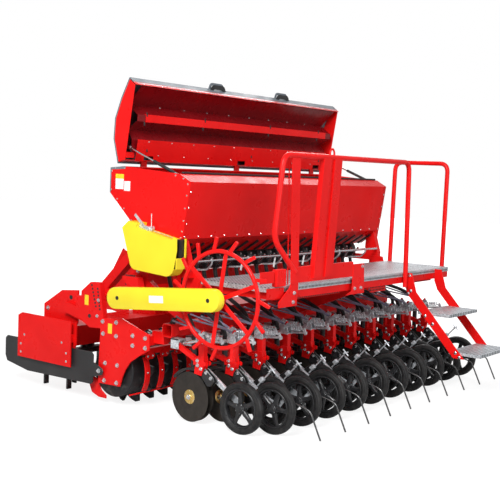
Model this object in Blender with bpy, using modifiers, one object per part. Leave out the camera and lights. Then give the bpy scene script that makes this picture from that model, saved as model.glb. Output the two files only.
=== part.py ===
"""Power-harrow seed drill, three metres wide, with twenty disc coulters.

Metres, +Z up, +Y towards the tractor, +X to the machine's right. The ground is Z = 0.
Places are given from the press wheels' rear row (Y = 0) and the machine's middle (X = 0);
one empty then carries everything, so that the frame's origin is under the middle of the box.
"""
import math

import bmesh
import bpy
from mathutils import Matrix, Vector

GAP = 0.0003            # between pieces that touch

WORK_HALF = 1.500       # half the width that the machine works

# Rows of coulters
ROWS = 10               # coulters in each of the two rows
PITCH = 2 * WORK_HALF / ROWS
STAGGER = 0.144         # front row ahead of the rear row
REAR_X0 = -WORK_HALF + 0.225        # first coulter of the rear row
FRONT_X0 = -WORK_HALF + 0.075

# Press wheel
WHEEL_R = 0.170
TYRE_HALF = 0.0275
HUB_HALF = 0.0335
HUB_R = 0.032
WHEEL_SIDES = 14

# Double disc
DISC_R = 0.168
DISC_AHEAD = 0.425      # disc axle ahead of its press wheel
DISC_Z = 0.175
DISC_IN = 0.0135        # inner face from the coulter's middle
DISC_ROOT = 0.0195
DISC_SIDES = 12
DISC_HUB_R = 0.030

# Coulter arms, measured from the press wheel's axle
HEAD_AHEAD = 0.362
HEAD_Z = 0.375
TUBE_TOP = 0.600
LINK_FRONT_Y = 0.705
ARM_T = 0.006

# Frame across the machine
HALF_W = WORK_HALF - 0.170          # outer faces of the hopper's end panels
BEAM_Y, BEAM_Z = 1.24, 0.885
BEAM_W, BEAM_H = 0.100, 0.080
BRACE_FOOT = 0.740      # top of the cross tube that the braces stand on
CARRIER_Y, CARRIER_Z = 0.775, 0.595
CARRIER_S = 0.090
CARRIER_HALF = WORK_HALF - 0.040

# Packer roller
ROLLER_Y = 1.260
ROLLER_R = 0.250        # to the teeth's tips
DRUM_R = 0.190
TEETH = 10
SCRAPERS = 20           # one more than the rings of teeth between them
ROLLER_HALF = WORK_HALF - 0.030
RING_PITCH = 2 * ROLLER_HALF / SCRAPERS
TOOTH_W = 0.022
SIDE_X = WORK_HALF      # middle of the roller's side plates
SIDE_T = 0.010

# Power harrow
ROTORS = 10
ROTOR_Y = 1.980
TINE_ORBIT = 0.128      # tine's middle from the rotor's axis
TROUGH_HALF = 0.170
TROUGH_Z0, TROUGH_Z1 = 0.330, 0.480

# Land wheel and its chain case
LAND_X = -HALF_W - 0.190
LAND_R = 0.310          # rim's middle
LAND_PEGS = 15
CASE_PIVOT = (1.127, 0.790)
CASE_LENGTH = 0.846
CASE_LIFT = 5.1         # degrees above level as parked
CASE_R = 0.081
CASE_OUT = LAND_X - 0.100
CASE_T = 0.062

# Lid
LID_HINGE = (1.385, 1.746)
LID_OPEN = 85.5
LID_T = 0.006
LID_TOP = ((0.040, 0.034), (-0.132, 0.095), (-0.279, 0.097), (-0.431, 0.050), (-0.575, -0.013))
LID_EDGE = ((-0.531, -0.0815), (0.0146, -0.0433))
STRUT_FOOT = (0.869, 1.640)
STRUT_X = HALF_W - 0.050
HINGE_X = (-HALF_W + 0.230, 0.0, HALF_W - 0.230)
LID_PIN_R = 0.006
STRUT_ON_LID = (-0.083, -0.0225)    # from the hinge, lid closed
STRUT_ROD_R = 0.005
LID_LINING = ((-0.533, -0.0735), (-0.384, 0.045), (-0.3247, -0.0477), (-0.3215, -0.0579),
              (-0.2737, -0.0617), (-0.2709, -0.0519), (-0.2073, 0.0294), (-0.1446, -0.0526))
LINING_T = 0.004
FLAP_TOP, FLAP_LOW = (-0.1350, -0.0538), (-0.0340, -0.0467)     # sheet in the lid's open face
FLAP_HALF = STRUT_X - 0.045
LID_HANDLES = (-0.369, 0.500)       # middles along the lid's lip
HANDLE_TOP = 2.366

# Hopper outline, front top round to the rear top
HOPPER = ((1.491, 1.678), (1.491, 1.500), (1.292, 1.318), (1.110, 1.085), (0.950, 1.085),
          (0.782, 1.210), (0.727, 1.602), (0.822, 1.653), (1.349, 1.690))
SHEET = 0.006

FEED_HALF = HALF_W - 0.115          # outermost feed housing

# Platform, rails and ladder
DECK_Z = 0.950
DECK_Y0, DECK_Y1 = 0.045, 0.640
DECK_X0, DECK_X1 = -HALF_W + 0.040, HALF_W - 0.080
DECK_T = 0.035
RAIL_R = 0.019
RAIL_TOP = 1.805
LADDER_X0, LADDER_X1 = 0.500, 1.000
STEPS = (("upper", -0.350, -0.080, 0.655), ("lower", -0.620, -0.360, 0.380))  # name, rear, front, top

# Plates and shields beside the harrow
END_OUT = SIDE_X + 0.055            # outer face of the outer end plates
END_T = 0.010
SHIELD_OUT = SIDE_X + 0.028
SHIELD_T = 0.008

# Hitch
LINK_HALF = 0.435
HITCH_FRONT = ROTOR_Y + 0.510
LINK_Y, LINK_Z = HITCH_FRONT - 0.040, 0.520
TOP_LINK_Y, TOP_LINK_Z = HITCH_FRONT - 0.160, 1.170

TIP_Y = -0.400          # following tines' tips
ORIGIN_X = (CASE_OUT + END_OUT) / 2
ORIGIN_Y = (HITCH_FRONT + STEPS[1][1]) / 2

COLOURS = {             # name: (red, green, blue, roughness, metallic)
    "red_paint": (0.80, 0.035, 0.03, 0.35, 0.0),
    "yellow_guard": (0.95, 0.80, 0.06, 0.45, 0.0),
    "black_steel": (0.03, 0.03, 0.032, 0.5, 0.6),
    "tyre_rubber": (0.025, 0.025, 0.025, 0.8, 0.0),
    "galvanised": (0.62, 0.64, 0.65, 0.45, 0.9),
    "bright_zinc": (0.80, 0.81, 0.82, 0.25, 1.0),
    "grey_skin": (0.32, 0.36, 0.40, 0.45, 0.1),
    "dark_plastic": (0.05, 0.05, 0.055, 0.6, 0.0),
}


def clear_scene():
    for item in list(bpy.data.objects):
        bpy.data.objects.remove(item, do_unlink=True)


def new_collection(name):
    group = bpy.data.collections.new(name)
    bpy.context.scene.collection.children.link(group)
    return group


def make_material(name):
    red, green, blue, rough, metal = COLOURS[name]
    mat = bpy.data.materials.new(name)
    mat.use_nodes = True
    shader = mat.node_tree.nodes["Principled BSDF"]
    shader.inputs["Base Color"].default_value = (red, green, blue, 1.0)
    shader.inputs["Roughness"].default_value = rough
    shader.inputs["Metallic"].default_value = metal
    mat.diffuse_color = (red, green, blue, 1.0)
    return mat


clear_scene()
PARTS = new_collection("seed_drill")
WORK = new_collection("work")
MATERIALS = {name: make_material(name) for name in COLOURS}
ROOT = bpy.data.objects.new("drill_origin", None)
ROOT.location = (-ORIGIN_X, -ORIGIN_Y, 0.0)
PARTS.objects.link(ROOT)


# Shapes: each call returns a mesh in the machine's own places

def from_bmesh(bm):
    mesh = bpy.data.meshes.new("shape")
    bm.to_mesh(mesh)
    bm.free()
    return mesh


def taken_from(obj, weld=True):
    """Mesh of an object with its modifiers or curve, after which the object goes."""
    graph = bpy.context.evaluated_depsgraph_get()
    mesh = bpy.data.meshes.new_from_object(obj.evaluated_get(graph), depsgraph=graph)
    mesh.transform(obj.matrix_world)
    bpy.data.objects.remove(obj, do_unlink=True)
    if weld:
        bm = bmesh.new()
        bm.from_mesh(mesh)
        bmesh.ops.remove_doubles(bm, verts=bm.verts, dist=0.00005)
        bmesh.ops.recalc_face_normals(bm, faces=bm.faces)
        bm.to_mesh(mesh)
        bm.free()
    return mesh


def box(low, high):
    """Box between two corners."""
    low, high = Vector(low), Vector(high)
    bm = bmesh.new()
    place = Matrix.Translation((low + high) / 2) @ Matrix.Diagonal((*(high - low), 1.0))
    bmesh.ops.create_cube(bm, size=1.0, matrix=place)
    return from_bmesh(bm)


def rod(start, end, radius, sides=8, end_radius=None):
    """Round bar or cone between two points."""
    start, end = Vector(start), Vector(end)
    along = end - start
    turn = along.to_track_quat("Z", "Y").to_matrix().to_4x4()
    bm = bmesh.new()
    bmesh.ops.create_cone(bm, cap_ends=True, segments=sides, radius1=radius,
                          radius2=radius if end_radius is None else end_radius,
                          depth=along.length,
                          matrix=Matrix.Translation((start + end) / 2) @ turn)
    return from_bmesh(bm)


def bar(start, end, wide_x, deep):
    """Rectangular bar between two points of one YZ plane, wide_x across the machine."""
    start, end = Vector(start), Vector(end)
    along = end - start
    tilt = math.atan2(along.z, along.y)
    bm = bmesh.new()
    place = (Matrix.Translation((start + end) / 2) @ Matrix.Rotation(tilt, 4, "X")
             @ Matrix.Diagonal((wide_x, along.length, deep, 1.0)))
    bmesh.ops.create_cube(bm, size=1.0, matrix=place)
    return from_bmesh(bm)


def plate(outline, x_low, x_high, holes=()):
    """Flat outline in (Y, Z), from x_low to x_high; holes are further outlines."""
    curve = bpy.data.curves.new("outline", "CURVE")
    curve.dimensions = "2D"
    curve.fill_mode = "BOTH"
    curve.extrude = (x_high - x_low) / 2
    for ring in (outline, *holes):
        spline = curve.splines.new("POLY")
        spline.points.add(len(ring) - 1)
        for point, (y, z) in zip(spline.points, ring):
            point.co = (y, z, 0.0, 1.0)
        spline.use_cyclic_u = True
    obj = bpy.data.objects.new("outline", curve)
    WORK.objects.link(obj)
    # The curve's own X runs along +Y, its Y along +Z and its Z along +X
    obj.matrix_world = Matrix(((0, 0, 1, (x_low + x_high) / 2), (1, 0, 0, 0),
                               (0, 1, 0, 0), (0, 0, 0, 1)))
    bpy.context.view_layer.update()
    return taken_from(obj)


def tube(points, radius, rounding=1):
    """Round bar through the points, with filled ends."""
    curve = bpy.data.curves.new("run", "CURVE")
    curve.dimensions = "3D"
    curve.bevel_depth = radius
    curve.bevel_resolution = rounding
    curve.use_fill_caps = True
    spline = curve.splines.new("POLY")
    spline.points.add(len(points) - 1)
    for point, (x, y, z) in zip(spline.points, points):
        point.co = (x, y, z, 1.0)
    obj = bpy.data.objects.new("run", curve)
    WORK.objects.link(obj)
    bpy.context.view_layer.update()
    return taken_from(obj)


def turned(profile, sides, centre, first_angle=0.0):
    """Profile of (radius, X from the centre) turned about the X axis through the centre."""
    bm = bmesh.new()
    verts = [bm.verts.new((0.0 + x, 0.0, -r)) for r, x in profile]
    for a, b in zip(verts, verts[1:]):
        bm.edges.new((a, b))
    obj = bpy.data.objects.new("turned", from_bmesh(bm))
    WORK.objects.link(obj)
    screw = obj.modifiers.new("turn", "SCREW")
    screw.axis = "X"
    screw.steps = sides
    screw.render_steps = sides
    screw.use_merge_vertices = True
    screw.merge_threshold = 0.0001
    obj.matrix_world = Matrix.Translation(centre) @ Matrix.Rotation(first_angle, 4, "X")
    bpy.context.view_layer.update()
    return taken_from(obj)


def bent(points, radius):
    """Points with each inner corner replaced by an arc of four points."""
    out = [Vector(points[0])]
    for before, corner, after in zip(points, points[1:], points[2:]):
        corner = Vector(corner)
        inward = (Vector(before) - corner).normalized() * radius
        outward = (Vector(after) - corner).normalized() * radius
        for t in (0.0, 0.33, 0.67, 1.0):
            out.append(corner + inward * (1 - t) ** 2 + outward * t ** 2)
    out.append(Vector(points[-1]))
    return out


def ring_outline(centre, radius, sides, first=0.0):
    cy, cz = centre
    angles = [first + 2 * math.pi * k / sides for k in range(sides)]
    return [(cy + radius * math.cos(a), cz + radius * math.sin(a)) for a in angles]


def joined(shapes):
    bm = bmesh.new()
    for mesh in shapes:
        bm.from_mesh(mesh)
        bpy.data.meshes.remove(mesh)
    return from_bmesh(bm)


def fused(shapes):
    """Union of closed shapes that overlap."""
    shapes = list(shapes)
    if len(shapes) == 1:
        return shapes[0]
    last = bpy.data.objects.new("last", shapes.pop())
    rest = bpy.data.objects.new("rest", joined(shapes))
    WORK.objects.link(last)
    WORK.objects.link(rest)
    union = rest.modifiers.new("union", "BOOLEAN")
    union.operation = "UNION"
    union.solver = "EXACT"
    union.use_self = True
    union.object = last
    bpy.context.view_layer.update()
    mesh = taken_from(rest)
    bpy.data.objects.remove(last, do_unlink=True)
    return mesh


def cut(mesh, cutters):
    """Mesh less the cutters."""
    body = bpy.data.objects.new("body", mesh)
    tool = bpy.data.objects.new("tool", joined(cutters))
    WORK.objects.link(body)
    WORK.objects.link(tool)
    less = body.modifiers.new("less", "BOOLEAN")
    less.operation = "DIFFERENCE"
    less.solver = "EXACT"
    less.use_self = True
    less.object = tool
    bpy.context.view_layer.update()
    out = taken_from(body)
    bpy.data.objects.remove(tool, do_unlink=True)
    return out


def mirrored(mesh):
    """Copy on the machine's other side."""
    other = mesh.copy()
    other.transform(Matrix.Diagonal((-1.0, 1.0, 1.0, 1.0)))
    other.flip_normals()
    return other


def both_sides(meshes):
    out = []
    for mesh in meshes:
        out += [mirrored(mesh), mesh]
    return out


def add_node(name, mesh, material, pivot=(0.0, 0.0, 0.0), smooth=False):
    """Object of one node, its own origin on the pivot."""
    mesh.name = name
    mesh.transform(Matrix.Translation(-Vector(pivot)))
    mesh.materials.clear()
    mesh.materials.append(MATERIALS[material])
    if smooth:
        mesh.shade_smooth()
        mesh.set_sharp_from_angle(angle=math.radians(35))
    obj = bpy.data.objects.new(name, mesh)
    PARTS.objects.link(obj)
    obj.parent = ROOT
    obj.location = pivot
    return obj


def coulter_places():
    """(row, X of the coulter, Y of its press wheel)"""
    for k in range(ROWS):
        yield "rear", REAR_X0 + PITCH * k, 0.0
    for k in range(ROWS):
        yield "front", FRONT_X0 + PITCH * k, STAGGER


# Press wheels: twenty, each on its own axle

def press_wheels():
    half = ((0.0, HUB_HALF), (HUB_R, HUB_HALF), (0.118, 0.009), (0.160, TYRE_HALF), (WHEEL_R, 0.013))
    profile = [(r, -x) for r, x in half] + [(r, x) for r, x in reversed(half)]
    count = {"rear": 0, "front": 0}
    for row, x, y in coulter_places():
        count[row] += 1
        centre = (x, y, WHEEL_R)
        mesh = turned(profile, WHEEL_SIDES, centre)
        add_node(f"press_wheel_{row}_{count[row]:02d}", mesh, "tyre_rubber", centre, smooth=True)


# Coulters: double disc, head, seed pipe, links, press wheel arm and following tine

def double_disc(x, y):
    half = ((0.0, DISC_ROOT + 0.006), (DISC_R, DISC_IN + 0.002), (DISC_HUB_R, DISC_IN))
    profile = [(r, -x) for r, x in half] + [(r, x) for r, x in reversed(half)]
    return turned(profile, DISC_SIDES, (x, y + DISC_AHEAD, DISC_Z))


def coulter(x, y):
    """Red carrier plate, seed pipe and lower link of the coulter whose press wheel is at Y = y."""
    head_y = y + HEAD_AHEAD
    disc_y = y + DISC_AHEAD
    carrier = plate([(disc_y - 0.018, DISC_Z), (disc_y + 0.018, DISC_Z), (disc_y + 0.045, 0.330),
                     (head_y + 0.060, 0.435), (head_y - 0.045, 0.435), (head_y - 0.055, 0.350)],
                    x - 0.0065, x + 0.0065)
    pipe = rod((x, head_y, 0.400), (x, head_y, TUBE_TOP), 0.016, 6)
    link = bar((x, head_y + 0.030, 0.405), (x, LINK_FRONT_Y, 0.500), 0.022, 0.030)
    return [carrier, pipe, link]


def link_rod(x, y):
    """Clamp under the beam, and the upper rod from it to the seed pipe."""
    clamp = box((x - 0.030, LINK_FRONT_Y - 0.035, 0.480),
                (x + 0.030, LINK_FRONT_Y + 0.035, CARRIER_Z - CARRIER_S / 2 + 0.005))
    upper = rod((x + 0.010, LINK_FRONT_Y, 0.520), (x + 0.010, y + HEAD_AHEAD, 0.560), 0.009, 4)
    return [clamp, upper]


def wheel_arm(x, y, tine):
    """Galvanised arm on the press wheel's right side; a rear one also holds the following tine."""
    side = x + HUB_HALF + GAP
    head_y = y + HEAD_AHEAD
    arm = plate([(y - 0.020, WHEEL_R - 0.020), (y + 0.015, WHEEL_R - 0.025), (head_y - 0.010, 0.335),
                 (head_y + 0.010, 0.400), (head_y - 0.045, 0.400), (y - 0.020, WHEEL_R + 0.025)],
                side, side + ARM_T)
    pieces = [arm, box((x, head_y - 0.035, 0.370), (side + 0.004, head_y - 0.015, 0.390))]
    if tine:
        middle = side + ARM_T / 2
        pieces += [
            bar((middle, y - 0.010, WHEEL_R), (middle, y - 0.215, 0.200), ARM_T, 0.030),
            rod((middle, y - 0.195, 0.198), (middle + 0.045, y - 0.195, 0.198), 0.020, 6),
            tube([(middle + 0.038, y - 0.200, 0.190), (middle + 0.038, y - 0.290, 0.120),
                  (middle + 0.038, TIP_Y, 0.006)], 0.005, 0)]
    return pieces


def coulter_gang():
    """The carrier beam with its twenty coulters."""
    half = CARRIER_S / 2
    shapes = [box((-CARRIER_HALF, CARRIER_Y - half, CARRIER_Z - half),
                  (CARRIER_HALF, CARRIER_Y + half, CARRIER_Z + half))]
    for row, x, y in coulter_places():
        shapes += [double_disc(x, y)] + coulter(x, y) + link_rod(x, y) + wheel_arm(x, y, row == "rear")
    add_node("coulter_gang", fused(shapes), "red_paint")


# Frame of the drill

def under_hopper(y):
    """Height just under the hopper's sloping sides."""
    low, high = (HOPPER[3], HOPPER[2]) if y > 1.0 else (HOPPER[4], HOPPER[5])
    share = (y - low[0]) / (high[0] - low[0])
    return low[1] + share * (high[1] - low[1]) - 2 * GAP


def drill_frame():
    inner = HALF_W - 0.030
    beam = box((-HALF_W - 0.02, BEAM_Y - BEAM_W / 2, BEAM_Z - BEAM_H / 2),
               (HALF_W + 0.02, BEAM_Y + BEAM_W / 2, BEAM_Z + BEAM_H / 2))
    seat = CARRIER_Z + CARRIER_S / 2 + GAP
    side = [
        plate([(0.745, seat), (0.818, seat), (1.200, 0.850), (1.290, 0.850), (1.290, 0.925),
               (1.250, 0.990), (1.250, under_hopper(1.250)), (1.180, under_hopper(1.180)),
               (1.180, 0.990), (0.872, 0.990), (0.862, under_hopper(0.862)),
               (0.792, under_hopper(0.792)), (0.735, 1.020), (0.735, 0.945), (1.120, 0.945),
               (1.120, 0.895)], inner - 0.050, inner),
        bar((inner - 0.110, 1.640, 0.790), (inner - 0.110, 1.270, 1.150), 0.070, 0.070),
        box((inner - 0.145, 1.230, 0.880), (inner - 0.075, 1.290, 1.170)),
        box((inner - 0.145, 1.560, BRACE_FOOT + GAP), (inner - 0.075, 1.680, BRACE_FOOT + 0.040)),
    ]
    py, pz = CASE_PIVOT
    bearing = plate([(py - 0.050, pz - 0.050), (py + 0.050, pz - 0.050), (py + 0.100, BEAM_Z - 0.030),
                     (BEAM_Y + 0.040, BEAM_Z + 0.030), (py, BEAM_Z + 0.030)],
                    -HALF_W - 0.070 + GAP, -HALF_W - 0.010)
    add_node("drill_frame", fused([beam, bearing] + both_sides(side)), "red_paint")


# Hopper, seed metering and lid

def hopper():
    inner = [(1.330, 1.720), (1.330, 1.683), (1.485, 1.672), (1.485, 1.503), (1.287, 1.321),
             (1.107, 1.091), (0.952, 1.091), (0.788, 1.213), (0.7335, 1.599), (0.826, 1.648),
             (0.830, 1.720)]
    shell = cut(plate(HOPPER, -HALF_W, HALF_W),
                [plate(inner, -HALF_W + SHEET, HALF_W - SHEET)])
    hy, hz = LID_HINGE
    hinges = [box((x - 0.030, hy - 0.006, 1.684), (x + 0.030, hy + 0.006, hz - LID_PIN_R - GAP))
              for x in HINGE_X]
    fy, fz = STRUT_FOOT
    studs = both_sides([rod((HALF_W - SHEET / 2, fy, fz), (STRUT_X + 0.008 + GAP, fy, fz), 0.008, 6)])
    hinges += studs
    add_node("hopper", fused([shell] + hinges), "red_paint")


def lid_pose(points, closed=False):
    """Places in (Y, Z) of points given from the hinge with the lid closed."""
    a = 0.0 if closed else -math.radians(LID_OPEN)
    out = []
    for y, z in points:
        out.append((LID_HINGE[0] + y * math.cos(a) - z * math.sin(a),
                    LID_HINGE[1] + y * math.sin(a) + z * math.cos(a)))
    return out


def lid():
    outer = lid_pose(LID_TOP + LID_EDGE)
    hollow = ((0.0325, 0.0303), (-0.132, 0.088), (-0.279, 0.090), (-0.429, 0.043), (-0.5665, -0.0155),
              (-0.5065, -0.109), (-0.0071, -0.090))
    notch = ((0.060, 0.010), (-0.030, 0.010), (-0.030, -0.090), (0.060, -0.090))
    shell = cut(plate(outer, -HALF_W, HALF_W),
                [plate(lid_pose(hollow), -HALF_W + LID_T, HALF_W - LID_T)]
                + [plate(lid_pose(notch), x - 0.040, x + 0.040) for x in HINGE_X])
    pin_y, pin_z = lid_pose([STRUT_ON_LID])[0]
    extra = both_sides([rod((HALF_W - LID_T / 2, pin_y, pin_z), (STRUT_X + 0.008 + GAP, pin_y, pin_z), 0.008, 6)])
    lug = ((0.037, 0.030), (0.016, -0.042), (-0.008, -0.008), (-0.008, 0.010))
    for x in HINGE_X:
        extra.append(rod((x - 0.046, *LID_HINGE), (x + 0.046, *LID_HINGE), LID_PIN_R, 8))
        extra += [plate(lid_pose(lug), x + at, x + at + 0.008) for at in (-0.049, 0.041)]
    add_node("lid", fused([shell, lid_lining()] + lid_flap() + lid_handles() + extra), "red_paint",
             (0.0, *LID_HINGE))


def lid_lining():
    """Folded inner sheet with the rib along its crest; below the rib it stops short of the struts."""
    back = [(y, z + LINING_T) for y, z in reversed(LID_LINING)]
    sheet = plate(lid_pose(list(LID_LINING) + back), -HALF_W + LID_T / 2, HALF_W - LID_T / 2)
    clear = lid_pose([(-0.322, -0.100), (-0.322, 0.070), (-0.100, 0.070), (-0.100, -0.100)])
    return cut(sheet, both_sides([plate(clear, FLAP_HALF, HALF_W + 0.010)]))


def lid_flap():
    """Upright sheet in the lid's open face, notched at the hinges, and the straps that hold it."""
    up = (0.0, LINING_T)
    corners = [FLAP_TOP, FLAP_LOW, (FLAP_LOW[0], FLAP_LOW[1] + up[1]), (FLAP_TOP[0] - 0.012, FLAP_TOP[1] + up[1])]
    corners = [(FLAP_TOP[0] - 0.012, FLAP_TOP[1])] + corners[1:]
    shapes = [plate(lid_pose(corners), -FLAP_HALF, FLAP_HALF)]
    strap = [(FLAP_TOP[0] + 0.030, FLAP_TOP[1] + 0.004), (FLAP_LOW[0] - 0.004, FLAP_LOW[1] + 0.002),
             (FLAP_LOW[0] - 0.004, 0.055), (FLAP_TOP[0] + 0.030, 0.085)]
    shapes += [plate(lid_pose(strap), x - 0.003, x + 0.003) for x in (-0.800, -0.400, 0.400, 0.800)]
    return shapes


def lid_handles():
    """Upright loops on the lid's lip, made flat and turned to look along Y."""
    shapes = []
    for x in LID_HANDLES:
        outline = [(-x + 0.098, 2.270), (-x + 0.062, HANDLE_TOP), (-x - 0.076, HANDLE_TOP), (-x - 0.112, 2.270)]
        hole = [(-x + 0.066, 2.312), (-x + 0.050, 2.350), (-x - 0.064, 2.350), (-x - 0.080, 2.312)]
        loop = plate(outline, 1.3265, 1.3325, [hole])
        loop.transform(Matrix.Rotation(math.pi / 2, 4, "Z"))
        shapes.append(loop)
    return shapes


def lid_struts():
    foot = Vector((STRUT_X, *STRUT_FOOT))
    eye = Vector((STRUT_X, *lid_pose([STRUT_ON_LID])[0]))
    along = (eye - foot).normalized()
    across = Vector((0.008, 0.0, 0.0))
    tube_body = cut(rod(foot + along * 0.0115, foot + along * 0.280, 0.011, 8),
                    [rod(foot + along * 0.024, foot + along * 0.290, STRUT_ROD_R + GAP, 8)])
    barrel = fused([tube_body, rod(foot - across, foot + across, 0.013, 8)])
    bar_end = fused([rod(foot + along * 0.150, eye, STRUT_ROD_R, 8), rod(eye - across, eye + across, 0.012, 8)])
    for name, mesh, material in (("barrel", barrel, "black_steel"), ("rod", bar_end, "bright_zinc")):
        other = mirrored(mesh)
        add_node(f"strut_{name}_right", mesh, material, (STRUT_X, *STRUT_FOOT))
        add_node(f"strut_{name}_left", other, material, (-STRUT_X, *STRUT_FOOT))


def metering():
    """Twenty feed housings on one hexagonal shaft, and a seed tube from each to its coulter."""
    side = HALF_W - 0.080 - GAP
    shapes = [rod((-side, 1.015, 1.020), (side, 1.015, 1.020), 0.012, 6)]
    for _, x, y in coulter_places():
        mx = x * FEED_HALF / -FRONT_X0
        pipe_y = y + HEAD_AHEAD
        shapes.append(box((mx - 0.030, 0.962, 0.960), (mx + 0.030, 1.090, HOPPER[3][1] - GAP)))
        shapes.append(tube([(mx, 1.000, 0.975), (x, pipe_y, TUBE_TOP + 0.030), (x, pipe_y, TUBE_TOP + GAP)],
                           0.013, 0))
    add_node("metering_units", fused(shapes), "dark_plastic")
    add_node("agitator_bar", rod((-side, 0.750, 1.052), (side, 0.750, 1.052), 0.010, 8), "bright_zinc")


# Roller

def roller():
    """Drum with rings of teeth, lofted along X through sections of like points."""
    bm = bmesh.new()
    spokes = 2 * TEETH

    def section(x, tooth):
        ring = []
        for k in range(spokes):
            a = 2 * math.pi * (k - 0.5) / spokes - math.pi / 2 + math.pi / spokes
            r = ROLLER_R if tooth and k % 2 == 0 else DRUM_R
            ring.append(bm.verts.new((x, r * math.cos(a), r * math.sin(a))))
        return ring

    half = ROLLER_HALF
    rings = [section(-half, False)]
    for n in range(SCRAPERS - 1):
        mid = -half + RING_PITCH * (n + 1)
        rings += [section(mid - TOOTH_W, False), section(mid, True), section(mid + TOOTH_W, False)]
    rings.append(section(half, False))
    for one, two in zip(rings, rings[1:]):
        for k in range(spokes):
            bm.faces.new((one[k], one[(k + 1) % spokes], two[(k + 1) % spokes], two[k]))
    bm.faces.new(rings[0])
    bm.faces.new(rings[-1])
    bmesh.ops.recalc_face_normals(bm, faces=bm.faces)
    mesh = from_bmesh(bm)
    mesh.transform(Matrix.Translation((0.0, ROLLER_Y, ROLLER_R)))
    stub_end = SIDE_X - SIDE_T / 2 - GAP
    stubs = both_sides([rod((half - 0.010, ROLLER_Y, ROLLER_R), (stub_end, ROLLER_Y, ROLLER_R), 0.030, 10)])
    add_node("packer_roller", fused([mesh] + stubs), "black_steel", (0.0, ROLLER_Y, ROLLER_R))


def roller_frame():
    """Side plates with the roller's bearings, arms to the harrow and to the carrier beam."""
    low, high = SIDE_X - SIDE_T / 2, SIDE_X + SIDE_T / 2
    side = plate([(1.381, 0.147), (1.369, 0.613), (1.158, 0.634), (0.898, 0.553), (0.893, 0.448),
                  (0.971, 0.406), (1.069, 0.339), (1.115, 0.279), (1.146, 0.211), (1.163, 0.153)], low, high)
    depth = plate([(1.582, 0.785), (1.489, 0.857), (1.395, 0.862), (1.351, 0.617), (1.340, 0.540),
                   (1.489, 0.530), (1.585, 0.576)], low - 0.040, low + 0.002)
    cross = box((-low - 0.001, 0.910, 0.475), (low + 0.001, 0.980, 0.540))
    arms = [bar((low - 0.020, 1.450, 0.580), (low - 0.020, 1.760, 0.650), 0.040, 0.080),
            box((HALF_W - 0.180, 1.530, BRACE_FOOT - 0.040), (low - 0.036, 1.655, BRACE_FOOT)),
            box((CARRIER_HALF - 0.070, CARRIER_Y + CARRIER_S / 2 + GAP, 0.490), (CARRIER_HALF - 0.020, 0.930, 0.575))]
    add_node("roller_frame", fused([cross] + both_sides([side, depth] + arms)), "red_paint")


def scrapers():
    """Curved scraper behind each ring of teeth, on a rail."""
    shapes = []
    drop = DRUM_R + 0.008
    rail_end = SIDE_X - SIDE_T / 2 - GAP
    rail = box((-rail_end, 0.990, 0.395), (rail_end, 1.030, 0.435))
    for n in range(SCRAPERS):
        x = -ROLLER_HALF + RING_PITCH * (n + 0.5)
        arc = [(ROLLER_Y - (drop + 0.060) * math.cos(a), ROLLER_R + (drop + 0.060) * math.sin(a))
               for a in (math.radians(d) for d in (-30, -10, 10, 26))]
        outer = [(1.015, 0.415)] + [(y - 0.008, z) for y, z in reversed(arc)]
        inner = list(arc) + [(1.028, 0.415)]
        shapes.append(plate(outer + inner, x - 0.020, x + 0.020))
    add_node("scrapers", fused([rail] + shapes), "red_paint")


# Power harrow

def harrow():
    half = SIDE_X
    trough = box((-half, ROTOR_Y - TROUGH_HALF, TROUGH_Z0), (half, ROTOR_Y + TROUGH_HALF, TROUGH_Z1))
    ends = both_sides([
        plate([(2.204, 0.215), (2.204, 0.540), (1.615, 0.545), (1.615, 0.385), (1.700, 0.215)],
              half - 0.002, half + 0.008),
        plate([(2.204, 0.227), (2.204, 0.542), (2.160, 0.564), (1.622, 0.560), (1.620, 0.226)],
              END_OUT - END_T, END_OUT),
        box((half + 0.007, 1.640, 0.400), (END_OUT - END_T + 0.001, 1.700, 0.460)),
        box((half + 0.007, 2.100, 0.400), (END_OUT - END_T + 0.001, 2.160, 0.460)),
        plate([(2.027, 0.470), (2.029, 0.639), (1.835, 0.760), (1.660, 0.777), (1.660, 0.540), (1.700, 0.470)],
              SIDE_X - SIDE_T / 2 - 0.052, SIDE_X - SIDE_T / 2 - 0.040 - GAP)])
    deck = box((-0.42, ROTOR_Y - 0.130, TROUGH_Z1 - 0.01), (0.42, ROTOR_Y + 0.130, 0.560))
    gearbox = box((-0.160, ROTOR_Y - 0.150, 0.550), (0.160, ROTOR_Y + 0.150, 0.800))
    shaft = rod((0.0, ROTOR_Y + 0.140, 0.680), (0.0, ROTOR_Y + 0.270, 0.680), 0.030, 10)
    add_node("harrow_trough", fused([trough, deck, gearbox, shaft] + ends), "red_paint")


def rotors():
    """Vertical rotors with two blade tines each, neighbours a quarter turn apart."""
    span = 2 * SIDE_X / ROTORS
    for n in range(ROTORS):
        x = (n - (ROTORS - 1) / 2) * span
        turn = math.pi / 2 * (n % 2)
        hub = rod((0, 0, TROUGH_Z0 - GAP), (0, 0, 0.265), 0.055, 8)
        cross = box((-0.030, -0.138, 0.225), (0.030, 0.138, 0.270))
        blades = []
        for side in (-1, 1):
            top = side * TINE_ORBIT
            blades.append(box((-0.020, top - 0.008, 0.0), (0.020, top + 0.008, 0.240)))
        mesh = fused([hub, cross] + blades)
        mesh.transform(Matrix.Translation((x, ROTOR_Y, 0.0)) @ Matrix.Rotation(turn, 4, "Z"))
        add_node(f"rotor_{n + 1:02d}", mesh, "black_steel", (x, ROTOR_Y, 0.0))


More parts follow.
